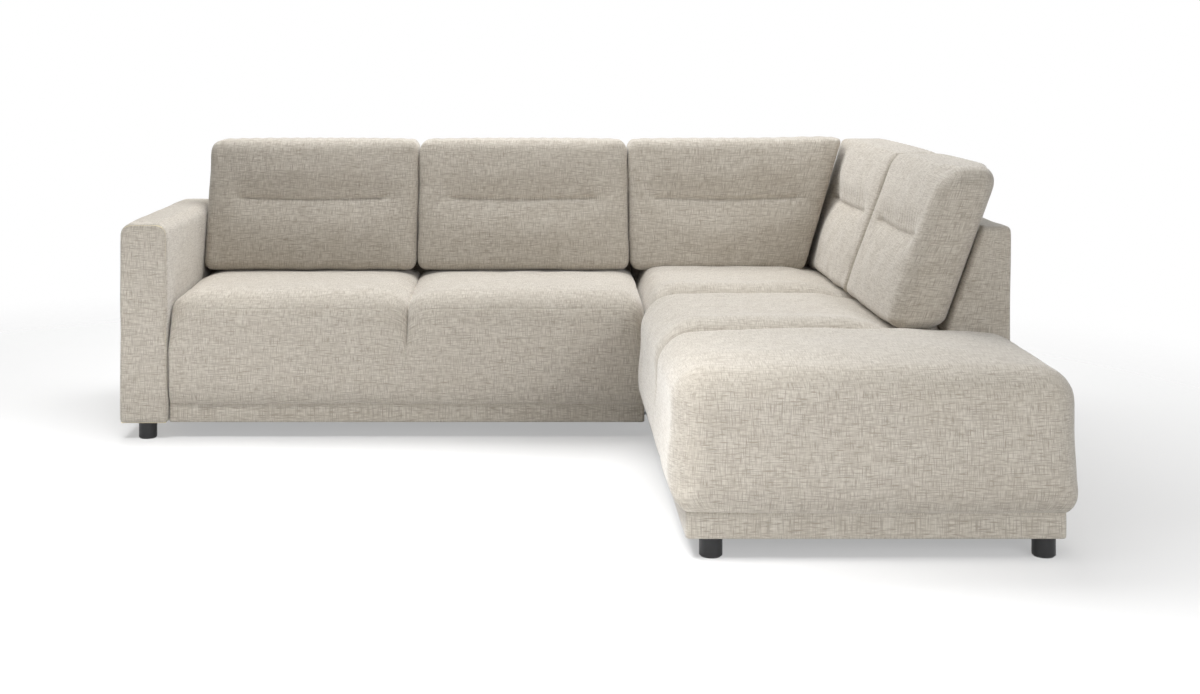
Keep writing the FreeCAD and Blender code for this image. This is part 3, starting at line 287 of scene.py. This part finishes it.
LINEN = linen_weave()
FINISHES = {
    "linen_weave": LINEN,
    "zip_tape": zip_tape(),
    "foam": cut_foam(),
    "cushion_filling": cotton_bag(),
    "elastic_webbing": elastic_webbing(),
    "softwood": sawn_pine(),
    "zinc_steel": zinc_plate(),
    "black_plastic": black_polypropylene(),
    "dust_cloth": spun_cloth(),
}


# Grids and forms

def spaced(start, end, pitch, ends=(0.0, 0.0), seams=(), folds=()):
    """Places along an edge: closer together in its rounded ends, at seams and beside folds."""
    low, high = start + ends[0], end - ends[1]
    marks = list(np.linspace(low, high, max(2, int(round((high - low) / pitch)) + 1)))
    for edge, reach, way in ((start, ends[0], 1), (end, ends[1], -1)):
        steps = max(2, int(round(reach * 1.57 / pitch))) if reach else 0
        marks += [edge + way * reach * (1 - math.cos(i * math.pi / 2 / steps))
                  for i in range(steps)]
    for fold, reach in folds:
        steps = int(round(reach * 1.57 / pitch))
        marks = [m for m in marks if abs(m - fold) >= reach * 0.98]
        for way in (-1, 1):
            marks += [fold + way * reach * (1 - math.cos(i * math.pi / 2 / steps))
                      for i in range(1, steps + 1)]
        marks.append(fold)
    for seam in seams:
        marks = [m for m in marks if abs(m - seam) > 5.5]
        marks += [seam - 5, seam - 2, seam, seam + 2, seam + 5]
    marks = sorted(set(marks + [start, end]))
    kept = [marks[0]]
    for mark in marks[1:-1]:
        if mark - kept[-1] > 0.6 and end - mark > 0.6:
            kept.append(mark)
    return np.array(kept + [end])


def shell(lines):
    """The six sides of a box as one closed grid: its points, its quads and their flat places."""
    counts = [len(line) for line in lines]
    index = np.indices(counts)
    skin = np.zeros(counts, bool)
    for axis in range(3):
        skin |= (index[axis] == 0) | (index[axis] == counts[axis] - 1)
    ids = np.full(counts, -1)
    ids[skin] = np.arange(skin.sum())
    points = np.stack([lines[axis][index[axis][skin]] for axis in range(3)], -1)
    quads, flats = [], []
    for axis in range(3):
        others = [a for a in range(3) if a != axis]
        for end in (0, -1):
            side = np.take(ids, end, axis=axis)
            ring = np.stack([side[:-1, :-1], side[1:, :-1], side[1:, 1:], side[:-1, 1:]], -1)
            ring = ring.reshape(-1, 4)
            if (axis != 1) != (end == -1):
                ring = ring[:, ::-1]
            quads.append(ring)
            flat = points[ring][:, :, others]
            if axis == 2 and end == -1:
                flat = flat + np.array([0.0, lines[2][-1] - lines[1][0]])
            flats.append(flat)
    return points, np.concatenate(quads), np.concatenate(flats)


def rounded(points, low, high, radii, square=()):
    """A box's skin moved onto rounded edges.

    radii are (at low, at high) for each axis. The edges between the two axes in square stay
    sharp.
    """
    inner = np.empty_like(points)
    offset = np.empty_like(points)
    reach = np.empty_like(points)
    for axis in range(3):
        near, far = radii[axis]
        inner[:, axis] = np.clip(points[:, axis], low[axis] + near, high[axis] - far)
        gap = points[:, axis] - inner[:, axis]
        reach[:, axis] = np.where(gap < 0, near, far)
        offset[:, axis] = gap / reach[:, axis]
    if square:
        third = 3 - sum(square)
        widest = np.max(np.abs(offset[:, list(square)]), axis=1)
        length = np.hypot(widest, offset[:, third])
    else:
        length = np.linalg.norm(offset, axis=1)
    length = np.where(length > 0, length, 1.0)
    return inner + offset / length[:, None] * reach


def rolled(points, axes, corner, reach, ways):
    """Rolls one edge of a form over: a square corner in two axes becomes a quarter ellipse."""
    moved = points.copy()
    first = (points[:, axes[0]] - corner[0]) * ways[0]
    second = (points[:, axes[1]] - corner[1]) * ways[1]
    a = np.clip(1 - first / reach[0], 0, 1)
    b = np.clip(1 - second / reach[1], 0, 1)
    length = np.hypot(a, b)
    scale = np.where(length > 0, np.maximum(a, b) / np.where(length > 0, length, 1), 0)
    inside = (first < reach[0]) & (second < reach[1])
    for axis, edge, part, way, size in ((axes[0], corner[0], a, ways[0], reach[0]),
                                        (axes[1], corner[1], b, ways[1], reach[1])):
        moved[:, axis] = np.where(inside, edge + way * size * (1 - part * scale),
                                  points[:, axis])
    return moved


def quarter(t):
    """A quarter circle's fall: 1 at t = 0, with a steep start, and 0 from t = 1."""
    t = np.clip(t, 0, 1)
    return 1 - np.sqrt(np.maximum(0, 1 - (1 - t) ** 2))


def eased(t):
    """A soft step from 0 to 1."""
    t = np.clip(t, 0, 1)
    return t * t * (3 - 2 * t)


def hill(t):
    """A bell of height 1."""
    return np.exp(-np.square(t))


def ripples(points, seed, length, count=20):
    """A smooth unevenness of about 1, whose waves are near the given length."""
    chance = np.random.default_rng(seed)
    total = np.zeros(len(points))
    for _ in range(count):
        way = chance.normal(size=3)
        way *= 2 * math.pi / (np.linalg.norm(way) * length * chance.uniform(0.7, 1.7))
        total += np.sin(points @ way + chance.uniform(0, 2 * math.pi))
    return total / math.sqrt(count / 2)


def outward(points, quads):
    """Each point's normal."""
    ways = np.cross(points[quads[:, 2]] - points[quads[:, 0]],
                    points[quads[:, 3]] - points[quads[:, 1]])
    normals = np.zeros_like(points)
    for corner in range(4):
        np.add.at(normals, quads[:, corner], ways)
    length = np.linalg.norm(normals, axis=1)
    return normals / np.where(length > 0, length, 1)[:, None]


def pressed(points, quads, depth):
    """Points moved in along their normals by a depth each."""
    return points - outward(points, quads) * depth[:, None]


def piece(name, points, quads, flats, body, stands_for):
    """A fabric piece from a grid in millimetres, hung on its body; the model's parts that it stands
    for are hidden.
    """
    mesh = bpy.data.meshes.new(name)
    mesh.from_pydata((points * 0.001).tolist(), [], quads.tolist())
    weave = mesh.uv_layers.new(name="Weave")
    weave.data.foreach_set("uv", (flats * 0.001).reshape(-1))
    mesh.polygons.foreach_set("use_smooth", [True] * len(mesh.polygons))
    mesh.materials.append(LINEN)
    mesh.update()
    made = bpy.data.objects.new(name, mesh)
    bpy.context.scene.collection.objects.link(made)
    smooth = made.modifiers.new("Smooth", "SUBSURF")
    smooth.levels = smooth.render_levels = 1
    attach(made, body)
    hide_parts(*stands_for)
    return made


# Seats

def drawn_in(z, groove, belly, brow):
    """How far a seat's wall stands in at a height: at its groove, belly and brow."""
    foot = SOFA_SEAT[0][2]
    lower = groove * (1 - np.sin(np.clip((z - foot) / (belly - foot), 0, 1) * math.pi / 2)) ** 1.5
    return lower + brow * eased((z - belly) / 120)


def sofa_seat_cover():
    """One cover over two seats, pulled in at the seam between them."""
    low, high = SOFA_SEAT
    turn, fall = 100.0, 90.0  # the front edge's roll, back over the top and down the front
    seam_z = 418.0
    lines = (spaced(low[0], high[0], 9, (118, 85), folds=((SEAT_SEAM_X, 85),)),
             spaced(low[1], high[1], 10),
             spaced(low[2], high[2], 9, seams=(seam_z,)))
    raw, quads, flats = shell(lines)
    points = rounded(raw, low, high, ((12, 10), (12, 4), (3, 12)), square=(1, 2))
    points = rolled(points, (1, 2), (low[1], high[2]), (turn, fall), (1, -1))
    x, y, z = points.T.copy()
    lift = eased((z - 240) / 170)
    fromseam = np.abs(x - SEAT_SEAM_X)
    left, right = x - low[0], high[0] - x
    front = eased((700 - y) / 450)
    # pulled-down ends and the pulled seam
    drop = (38 + 14 * front) * quarter(left / 114) + (30 + 28 * front) * quarter(right / 88)
    drop += (38 + 12 * front) * quarter(fromseam / 104)
    # crowned tops, one to a seat
    span = np.where(x < SEAT_SEAM_X, (x - low[0]) / (SEAT_SEAM_X - low[0]),
                    (x - SEAT_SEAM_X) / (high[0] - SEAT_SEAM_X))
    crown = 11 * (1 - np.abs(2 * span - 1) ** 5) * eased((y - low[1]) / 160)
    crown *= eased((790 - y) / 150)
    # the front draws in to the plinth, the ends and the seam, and swells between them
    wall = 1 - eased((y - low[1]) / 90)
    pulled = eased((z - 270) / 130)
    width = 20 + 62 * eased((z - 270) / 150)
    set_back = wall * drawn_in(z, 19, 190, 2)
    set_back += wall * (8 * quarter(left / 26) + 34 * pulled * quarter(left / 110))
    set_back += wall * (6 * quarter(right / 26) + 28 * pulled * quarter(right / 85))
    set_back += wall * (3 + 40 * pulled) * quarter(fromseam / width) * eased((z - 215) / 70)
    set_back += wall * 5 * hill(fromseam / 42) * hill((z - 235) / 85)
    set_back -= wall * 4 * hill((z - 280) / 110) * (1 - np.abs(2 * span - 1) ** 4)
    points = np.stack([x, y + set_back, z + lift * (crown - drop)], -1)
    # the sewn seam along the front, lost in the ends and the pull
    sewn = hill((raw[:, 2] - seam_z) / 2.2) * (raw[:, 1] < low[1] + 1)
    sewn *= eased((left - 60) / 60) * eased((right - 50) / 50) * eased((fromseam - 14) / 30)
    points = pressed(points, quads, 1.8 * sewn - 0.9 * ripples(points, 4, 150))
    return piece("sofa_seat_upholstery", points, quads, flats, "sofa",
                 ["sofa_seat_cover", "sofa_seat_foam_left", "sofa_seat_foam_right"])


def middle_seats_cover():
    """The corner seat and the middle seat, with the seam across them and a swelling side."""
    low, high = MIDDLE_SEAT
    turn, fall = 96.0, 94.0  # the free edge's roll, in over the top and down the side
    lines = (spaced(low[0], high[0], 10),
             spaced(low[1], high[1], 9, (80, 0), folds=((CORNER_SEAM_Y, 80),)),
             spaced(low[2], high[2], 9))
    raw, quads, flats = shell(lines)
    points = rounded(raw, low, high, ((10, 4), (8, 4), (3, 10)), square=(0, 2))
    points = rolled(points, (0, 2), (low[0], high[2]), (turn, fall), (1, -1))
    x, y, z = points.T.copy()
    lift = eased((z - 230) / 180)
    front = y - low[1]
    fromseam = np.abs(y - CORNER_SEAM_Y)
    beside = eased((x - low[0]) / 420)
    # the tops fall to the seams, and each has its crown
    drop = (68 - 4 * beside) * quarter(front / 112)
    drop += (64 - 4 * beside) * quarter(fromseam / np.where(y > CORNER_SEAM_Y, 112, 72))
    span = np.where(y < CORNER_SEAM_Y, (y - low[1]) / (CORNER_SEAM_Y - low[1]),
                    (y - CORNER_SEAM_Y) / (high[1] - CORNER_SEAM_Y))
    behind = np.where(y < CORNER_SEAM_Y, front, fromseam)
    crown = 20 * (1 - np.abs(2 * span - 1) ** 9) + 8 * hill((behind - 100) / 70)
    crown *= eased((x - low[0]) / 150)
    crown *= eased((990 - x) / 140)
    # the free side draws in to the plinth and the seams; it is flat where the sofa seat meets it
    wall = 1 - eased((x - low[0]) / 90)
    pulled = eased((z - 240) / 150)
    width = 20 + 60 * eased((z - 240) / 160)
    flat = eased((y - CORNER_SEAM_Y + 70) / 70)
    set_in = wall * (drawn_in(z, 39, 210, 8) * (1 - flat) + 30 * flat)
    set_in += wall * (1 - flat) * (3 + 34 * pulled) * quarter(front / width)
    set_in += wall * (2 + 30 * pulled) * quarter(fromseam / width) * (1 - 0.5 * flat)
    points = np.stack([x + set_in, y, z + lift * (crown - drop)], -1)
    points = pressed(points, quads, -0.9 * ripples(points, 9, 150))
    return piece("middle_seats_upholstery", points, quads, flats, "sofa",
                 ["corner_seat_cover", "corner_seat_foam_middle", "corner_seat_foam_rear"])


def end_seat_cover():
    """The open end seat: one padded block, swollen over its plinth on three sides."""
    low, high = END_SEAT
    seam_z = 404.0
    lines = (spaced(low[0], high[0], 9), spaced(low[1], high[1], 9, (0, 82)),
             spaced(low[2], high[2], 9, seams=(seam_z,)))
    raw, quads, flats = shell(lines)
    # the upright corners are tight at the plinth and full from the belly upward
    grow = eased((raw[:, 2] - 112) / 80)
    side = 20 + 68 * grow
    nose = 20 + 72 * grow
    points = rounded(raw, low, high, ((side, side), (nose, 5), (3, 82)))
    x, y, z = points.T.copy()
    lift = eased((z - 220) / 190)
    behind = high[1] - y
    middle = (x - low[0]) / (high[0] - low[0])
    # the top falls to the seam behind it, over its own crown
    drop = 60 * quarter(behind / 72)
    crown = 22 * (1 - np.abs(2 * middle - 1) ** 3) * eased((y - low[1]) / 220)
    crown *= eased(behind / 50)
    # the walls draw in to the plinth, and to the seam behind
    inset = drawn_in(z, 39, 200, 6)
    nose_inset = drawn_in(z, 24, 185, 4)
    centre_x, half_x = (low[0] + high[0]) / 2, (high[0] - low[0]) / 2
    toward = np.sign(centre_x - x) * eased((np.abs(x - centre_x) - half_x + 130) / 90)
    pulled = eased((z - 230) / 150)
    width = 20 + 60 * eased((z - 230) / 160)
    inset = inset + (3 + 34 * pulled) * quarter(behind / width)
    nose_weight = 1 - eased((y - low[1]) / 120)
    x = x + toward * inset
    y = y + nose_weight * nose_inset
    y = y - nose_weight * 4 * hill((z - 260) / 90) * (1 - np.abs(2 * middle - 1) ** 4)
    points = np.stack([x, y, z + lift * (crown - drop)], -1)
    sewn = hill((raw[:, 2] - seam_z) / 2.2) * (raw[:, 1] < low[1] + 1)
    sewn *= eased((raw[:, 0] - low[0] - 70) / 60) * eased((high[0] - raw[:, 0] - 70) / 60)
    points = pressed(points, quads, 0.9 * sewn - 0.9 * ripples(points, 14, 160))
    return piece("end_seat_upholstery", points, quads, flats, "sofa",
                 ["corner_seat_cover", "corner_seat_foam_end"])


# Arm, backs and plinth bands

def arm_cover():
    """The box arm: a flat front panel sewn round, and one long panel over the top."""
    low, high = ARM
    seam_y = low[1] + 15.0
    lines = (spaced(low[0], high[0], 9), spaced(low[1], high[1], 12, seams=(seam_y,)),
             spaced(low[2], high[2], 10))
    raw, quads, flats = shell(lines)
    points = rounded(raw, low, high, ((12, 12), (18, 10), (10, 20)), square=(0, 2))
    for corner_x, way in ((low[0], 1), (high[0], -1)):
        points = rolled(points, (0, 2), (corner_x, high[2]), (37, 37), (way, -1))
        points = rolled(points, (0, 2), (corner_x, low[2]), (12, 12), (way, 1))
    sewn = hill((raw[:, 1] - seam_y) / 2.2)
    top = eased((raw[:, 2] - low[2] - 40) / 60)
    across = (raw[:, 0] - low[0]) / (high[0] - low[0])
    puff = 3.0 * (1 - np.abs(2 * across - 1) ** 3) * eased((raw[:, 1] - seam_y) / 60)
    puff *= (raw[:, 2] > high[2] - 1)
    points = pressed(points, quads, 1.1 * sewn * top - 0.6 * ripples(points, 21, 170) - puff)
    points[:, 0] = np.clip(points[:, 0], low[0] - 1.0, high[0])
    return piece("arm_upholstery", points, quads, flats, "sofa", ["arm_cover"])


def leaning_back(name, low, high, along, rear_end_leans, stands_for, seed):
    """A back with an upright outside and a leaning face; along is the axis that it runs on."""
    across = 1 - along
    lines = [None, None, spaced(low[2], high[2], 11)]
    lines[along] = spaced(low[along], high[along], 12)
    lines[across] = spaced(low[across], high[across], 9)
    raw, quads, flats = shell(lines)
    radii = [None, None, (6, 19)]
    radii[along] = (13, 4 if rear_end_leans else 8)
    radii[across] = (17, 17)
    points = rounded(raw, low, high, radii)
    over = np.clip(points[:, 2] - SEAT_TOP, 0, None) * LEAN_RUN
    deep = high[across] - low[across]
    share = (high[across] - points[:, across]) / deep
    points[:, across] += over * share
    if rear_end_leans:
        length = high[along] - low[along]
        points[:, along] += over * (points[:, along] - low[along]) / length
    points = pressed(points, quads, -0.7 * ripples(points, seed, 210))
    points[:, 2] = np.clip(points[:, 2], low[2], high[2] + 1)
    return piece(name, points, quads, flats, "sofa", stands_for)


def plinth_band(name, low, high, stands_for):
    """A fabric-covered board set on edge all round a module's foot."""
    corner, wall, step_long = 14.0, 12.0, 16
    # the corners' arcs, then the straight runs between them, cut into short steps
    path, ways = [], []
    for cx, cy, start in ((high[0] - corner, low[1] + corner, -90),
                          (high[0] - corner, high[1] - corner, 0),
                          (low[0] + corner, high[1] - corner, 90),
                          (low[0] + corner, low[1] + corner, 180)):
        for step in range(7):
            angle = math.radians(start + step * 15)
            ways.append((math.cos(angle), math.sin(angle)))
            path.append((cx + corner * ways[-1][0], cy + corner * ways[-1][1]))
    rail, rail_ways, along = [], [], [0.0]
    for index, (spot, way) in enumerate(zip(path, ways)):
        rail.append(spot)
        rail_ways.append(way)
        after = path[(index + 1) % len(path)]
        gap = math.dist(spot, after)
        steps = int(gap / step_long) if gap > 40 else 1
        for step in range(1, steps):
            share = step / steps
            rail.append((spot[0] + (after[0] - spot[0]) * share,
                         spot[1] + (after[1] - spot[1]) * share))
            rail_ways.append(way)
    for index in range(len(rail)):
        along.append(along[-1] + math.dist(rail[index], rail[(index + 1) % len(rail)]))
    tall = high[2] - low[2]
    # the board's section, as places outward and upward: its back, top edge, face and lower edge
    section = [(-wall, 1.0), (-wall, tall - 1)]
    section += [(out, tall - below) for out, below in
                ((-11.728, 2.551), (-5.6, 0.0), (-2.082, 0.490), (-0.435, 2.186), (0.0, 8.0))]
    section += [(0, tall * share) for share in (0.75, 0.5, 0.25)]
    section += [(-4 + 4 * math.cos(a), 4 - 4 * math.sin(a)) for a in (0.0, 0.5, 1.1, 1.57)]
    points = [(x + way[0] * out, y + way[1] * out, low[2] + up)
              for (x, y), way in zip(rail, rail_ways) for out, up in section]
    count, size = len(rail), len(section)
    quads, flats = [], []
    for i in range(count):
        for j in range(size):
            near, far, up = i, (i + 1) % count, (j + 1) % size
            quads.append((near * size + j, near * size + up, far * size + up, far * size + j))
            flats.append(((along[i], j * 9.0), (along[i], j * 9.0 + 9), (along[i + 1], j * 9.0 + 9),
                          (along[i + 1], j * 9.0)))
    points, quads, flats = np.array(points), np.array(quads)[:, ::-1], np.array(flats)[:, ::-1]
    return piece(name, points, quads, flats, "sofa", stands_for)


# Back cushions

def back_cushion(number, start, end, slant, rear_row, pulls, ear):
    """A leaning cushion: crowned, drawn in at its edges, with a stitched crease over its middle.

    It is formed upright, as a along its width, d from front to back and h from its foot, and then
    leaned. slant is 1 where its far end follows the other row's lean, pulls is how strong the short
    pulls at the stitches are, and ear is how far its far upper corner stands up.
    """
    wide = end - start
    low = (-3.2, 9.0, 1.2)
    high = (wide + (0.5 if slant else 3.2), CUSHION_DEEP - 0.6, CUSHION_TALL - 5)
    seam_d, fold_h, brow_h = 31.0, 246.0, 330.0
    lines = (spaced(low[0], high[0], 8), spaced(low[1], high[1], 8, seams=(seam_d,)),
             spaced(low[2], high[2], 8, folds=((fold_h, 26),)))
    raw, quads, flats = shell(lines)
    flats = flats + np.array([number * 811.0, number * 377.0])
    # tight edges where cushions meet, and the fullest ones at the end that stands free
    meeting = slant * eased((raw[:, 0] - wide + 170) / 110)
    free = (number == 5) * (1 - eased((raw[:, 0] - 60) / 110))
    near = 40 + 24 * free
    near -= np.maximum(24 * meeting, 20 * (1 - free) * eased((raw[:, 2] - brow_h) / 70))
    points = rounded(raw, low, high, ((32 + 26 * free, 16 if slant else 32), (near, 26 + 30 * free),
                                      (34, 40 - 18 * meeting + 22 * free)))
    a, d, h = points.T.copy()
    across, up = 2 * a / wide - 1, 2 * h / CUSHION_TALL - 1
    front = eased((95 - d) / 85)
    met = across * slant > 0
    full = (1 - np.abs(across) ** np.where(met, 9.0, 3.2)) * (1 - np.abs(up) ** 3.4)
    if number == 4:
        full = full * (1 - 0.85 * eased((a - 500) / 80))
    # the front swells, more below the crease
    d = d - front * full * (13 + 5 * hill((h - 120) / 90))
    h = h + eased((h - brow_h) / 100) * (4 * (1 - np.abs(across) ** 3)) * eased((d - 10) / 40)
    out = 1.2 * (1 - np.abs(up) ** 2.4)
    a = a + np.sign(across) * eased((np.abs(across) - 0.75) / 0.25) * out
    # the crease, stitched over the middle and a little higher at its ends
    crease = 243 + 12 * across ** 2
    held = eased((0.74 - np.abs(across)) / 0.10)
    soft = eased((0.86 - np.abs(across)) / 0.34)
    d = d + front * (18 * soft * hill((h - crease - 8) / 54) + 11 * held * hill((h - crease) / 9))
    for way in (-1, 1):
        d = d + front * 3.0 * hill(np.hypot(a - wide * (0.5 + way * 0.345),
                                            (h - crease) * 1.5) / 34)
    # short pulls above and below the stitches
    comb = np.sin(a * 2 * math.pi / 27 + 1.3 * np.sin(a / 61) + number)
    above, below = hill((h - crease - 38) / 30), hill((h - crease + 34) / 26)
    d = d + front * held * pulls * comb * (above + 0.5 * below)
    # gathers where the top seam is drawn
    gathers = np.sin(a * 2 * math.pi / 44 + 1.7 * np.sin(a / 83 + number))
    h = h + 1.1 * gathers * eased((h - 415) / 30)
    h = h + ear * eased((h - brow_h) / 110) * hill((wide - 40 - a) / 120)
    points = np.stack([a, d, h], -1)
    sewn = hill((raw[:, 1] - seam_d) / 2.2)
    points = pressed(points, quads, 1.5 * sewn - front * 1.0 * ripples(points, 30 + number, 120))
    a, d, h = points.T
    h = np.clip(h, 1.0, None)
    lean_a = slant * LEAN_RUN * h * np.clip((a - 60) / (wide - 120), 0, 1)
    if rear_row:
        placed = np.stack([start + a + lean_a, REAR_CUSHION_Y + d + LEAN_RUN * h,
                           CUSHION_FOOT + h], -1)
    else:
        placed = np.stack([SIDE_CUSHION_X + d + LEAN_RUN * h, start + a + lean_a,
                           CUSHION_FOOT + h], -1)
        quads, flats = quads[:, ::-1], flats[:, ::-1]
    name = "cushion_%d" % number
    return piece(name + "_upholstery", placed, quads, flats, name, [name + "_cover"])


# Floor, light and camera

def floor():
    """A plain pale floor that thins out into the white ground beyond the sofa."""
    mesh = bpy.data.meshes.new("floor")
    reach = 14.0
    mesh.from_pydata([(-reach, -reach, 0), (reach, -reach, 0), (reach, reach, 0),
                      (-reach, reach, 0)], [], [(0, 1, 2, 3)])
    made = bpy.data.objects.new("floor", mesh)
    bpy.context.scene.collection.objects.link(made)
    painted, tree, shader = material("pale_floor")
    shader.inputs["Base Color"].default_value = linear("#F2F2F2")
    shader.inputs["Roughness"].default_value = 0.9
    shader.inputs["Specular IOR Level"].default_value = 0.1
    where = node(tree, "TexCoord").outputs["Object"]
    spread = node(tree, "Mapping", {"Vector": where, "Scale": (0.22, 0.22, 0.2),
                                    "Location": (0.08, 0.0, 0.0)})
    away = node(tree, "VectorMath", {0: spread.outputs["Vector"]}, operation="LENGTH")
    thin = node(tree, "MapRange", {"Value": away.outputs["Value"], "From Min": 0.42,
                                   "From Max": 0.85, "To Min": 0.4},
                interpolation_type="SMOOTHSTEP")
    clear = node(tree, "BsdfTransparent")
    both = node(tree, "MixShader", {0: thin.outputs[0], 1: shader.outputs[0],
                                    2: clear.outputs[0]})
    tree.links.new(both.outputs[0], tree.nodes["Material Output"].inputs["Surface"])
    mesh.materials.append(painted)


def world():
    """Even studio air; the camera and reflections see white ground."""
    made = bpy.data.worlds.new("studio")
    made.use_nodes = True
    tree = made.node_tree
    ground = tree.nodes["Background"]
    ground.inputs["Color"].default_value = linear("#FFFFFF")
    ground.inputs["Strength"].default_value = 0.24
    white = node(tree, "Background", {"Color": linear("#FFFFFF"), "Strength": 1.0})
    path = node(tree, "LightPath")
    seen = node(tree, "Math", {0: path.outputs["Is Camera Ray"], 1: path.outputs["Is Glossy Ray"]},
                operation="MAXIMUM")
    seen = node(tree, "Math", {0: seen.outputs[0], 1: path.outputs["Is Transmission Ray"]},
                operation="MAXIMUM")
    both = node(tree, "MixShader", {0: seen.outputs[0], 1: ground.outputs[0],
                                    2: white.outputs[0]})
    tree.links.new(both.outputs[0], tree.nodes["World Output"].inputs["Surface"])
    bpy.context.scene.world = made


def softbox(name, place, aim, size, watts, spread=180):
    """A large soft lamp; a narrow spread keeps its light below it."""
    lamp = bpy.data.lights.new(name, "AREA")
    lamp.shape = "RECTANGLE"
    lamp.size, lamp.size_y = size
    lamp.energy = watts
    lamp.spread = math.radians(spread)
    made = bpy.data.objects.new(name, lamp)
    made.location = place
    way = np.array(aim) - np.array(place)
    pitch = math.atan2(math.hypot(way[0], way[1]), -way[2])
    made.rotation_euler = (pitch, 0, math.atan2(-way[0], way[1]))
    bpy.context.scene.collection.objects.link(made)


def camera():
    """The photograph's place and angle: level, with the frame shifted."""
    lens = bpy.data.cameras.new("camera")
    # in the picture's pixels: its size, the lens's length and the point straight ahead
    wide, tall, length, ahead_x, ahead_y = 1200, 694, 1684, 531, 51
    lens.sensor_width = 36.0
    lens.lens = length / wide * lens.sensor_width
    lens.shift_x = (wide / 2 - ahead_x) / wide
    lens.shift_y = (ahead_y - tall / 2) / wide
    lens.clip_end = 60
    made = bpy.data.objects.new("camera", lens)
    made.location = (-0.017, -5.104, 1.224)
    made.rotation_euler = (math.pi / 2, 0, 0)
    bpy.context.scene.collection.objects.link(made)
    bpy.context.scene.camera = made


# The sofa

slots = {part["node"]: part["material_slot"] for part in frame["record"]["subparts"]}
for name, made in frame["nodes"].items():
    for held in made.material_slots:
        held.link = "OBJECT"
        held.material = FINISHES[slots[name]]

sofa_seat_cover()
middle_seats_cover()
end_seat_cover()
arm_cover()
leaning_back("sofa_back_upholstery", (-1162.6, BACK_FACE_Y, 115.3), (342.8, REAR_Y, BACK_TOP), 0,
             False, ["sofa_back_cover"], 41)
leaning_back("corner_back_upholstery", (345.2, BACK_FACE_Y, 115.3), (SIDE_OUT_X, REAR_Y, BACK_TOP),
             0, False, ["corner_back_cover"], 42)
leaning_back("side_back_upholstery", (SIDE_FACE_X, -500.0, 115.3),
             (SIDE_OUT_X, BACK_FACE_Y - 0.6, BACK_TOP), 1, True, ["side_back_cover"], 43)
plinth_band("sofa_plinth_upholstery", *SOFA_PLINTH, ["sofa_plinth_band"])
plinth_band("corner_plinth_upholstery", *CORNER_PLINTH, ["corner_plinth_band"])
back_cushion(1, -1158.7, -422.7, 0, True, 0.5, 0)
back_cushion(2, -412.7, 323.3, 0, True, 0.5, 0)
back_cushion(3, 333.3, 933.6, 1, True, 0.5, 7)
back_cushion(4, 200.0, 919.6, 1, False, 1.5, 0)
back_cushion(5, -497.0, 190.0, 0, False, 1.5, 0)

floor()
world()
softbox("overhead", (-0.3, 1.6, 3.6), (-0.2, 0.3, 0.0), (4.0, 2.6), 150)
softbox("behind", (0.0, 2.5, 3.4), (0.0, 0.2, 0.3), (2.2, 1.6), 20)
softbox("left_pool", (-1.5, -2.1, 3.2), (-1.5, -2.1, 0.0), (2.4, 2.2), 143, 68)
softbox("front_pool", (1.1, -3.2, 3.2), (1.1, -3.2, 0.0), (2.4, 1.8), 36, 66)
softbox("right_fill", (2.2, -5.0, 1.9), (1.0, -0.4, 0.5), (2.0, 1.4), 10)
softbox("side_fill", (2.4, -4.6, 1.9), (1.25, -0.5, 0.5), (1.6, 1.2), 5, 44)
camera()
bpy.context.scene.view_settings.view_transform = "Standard"
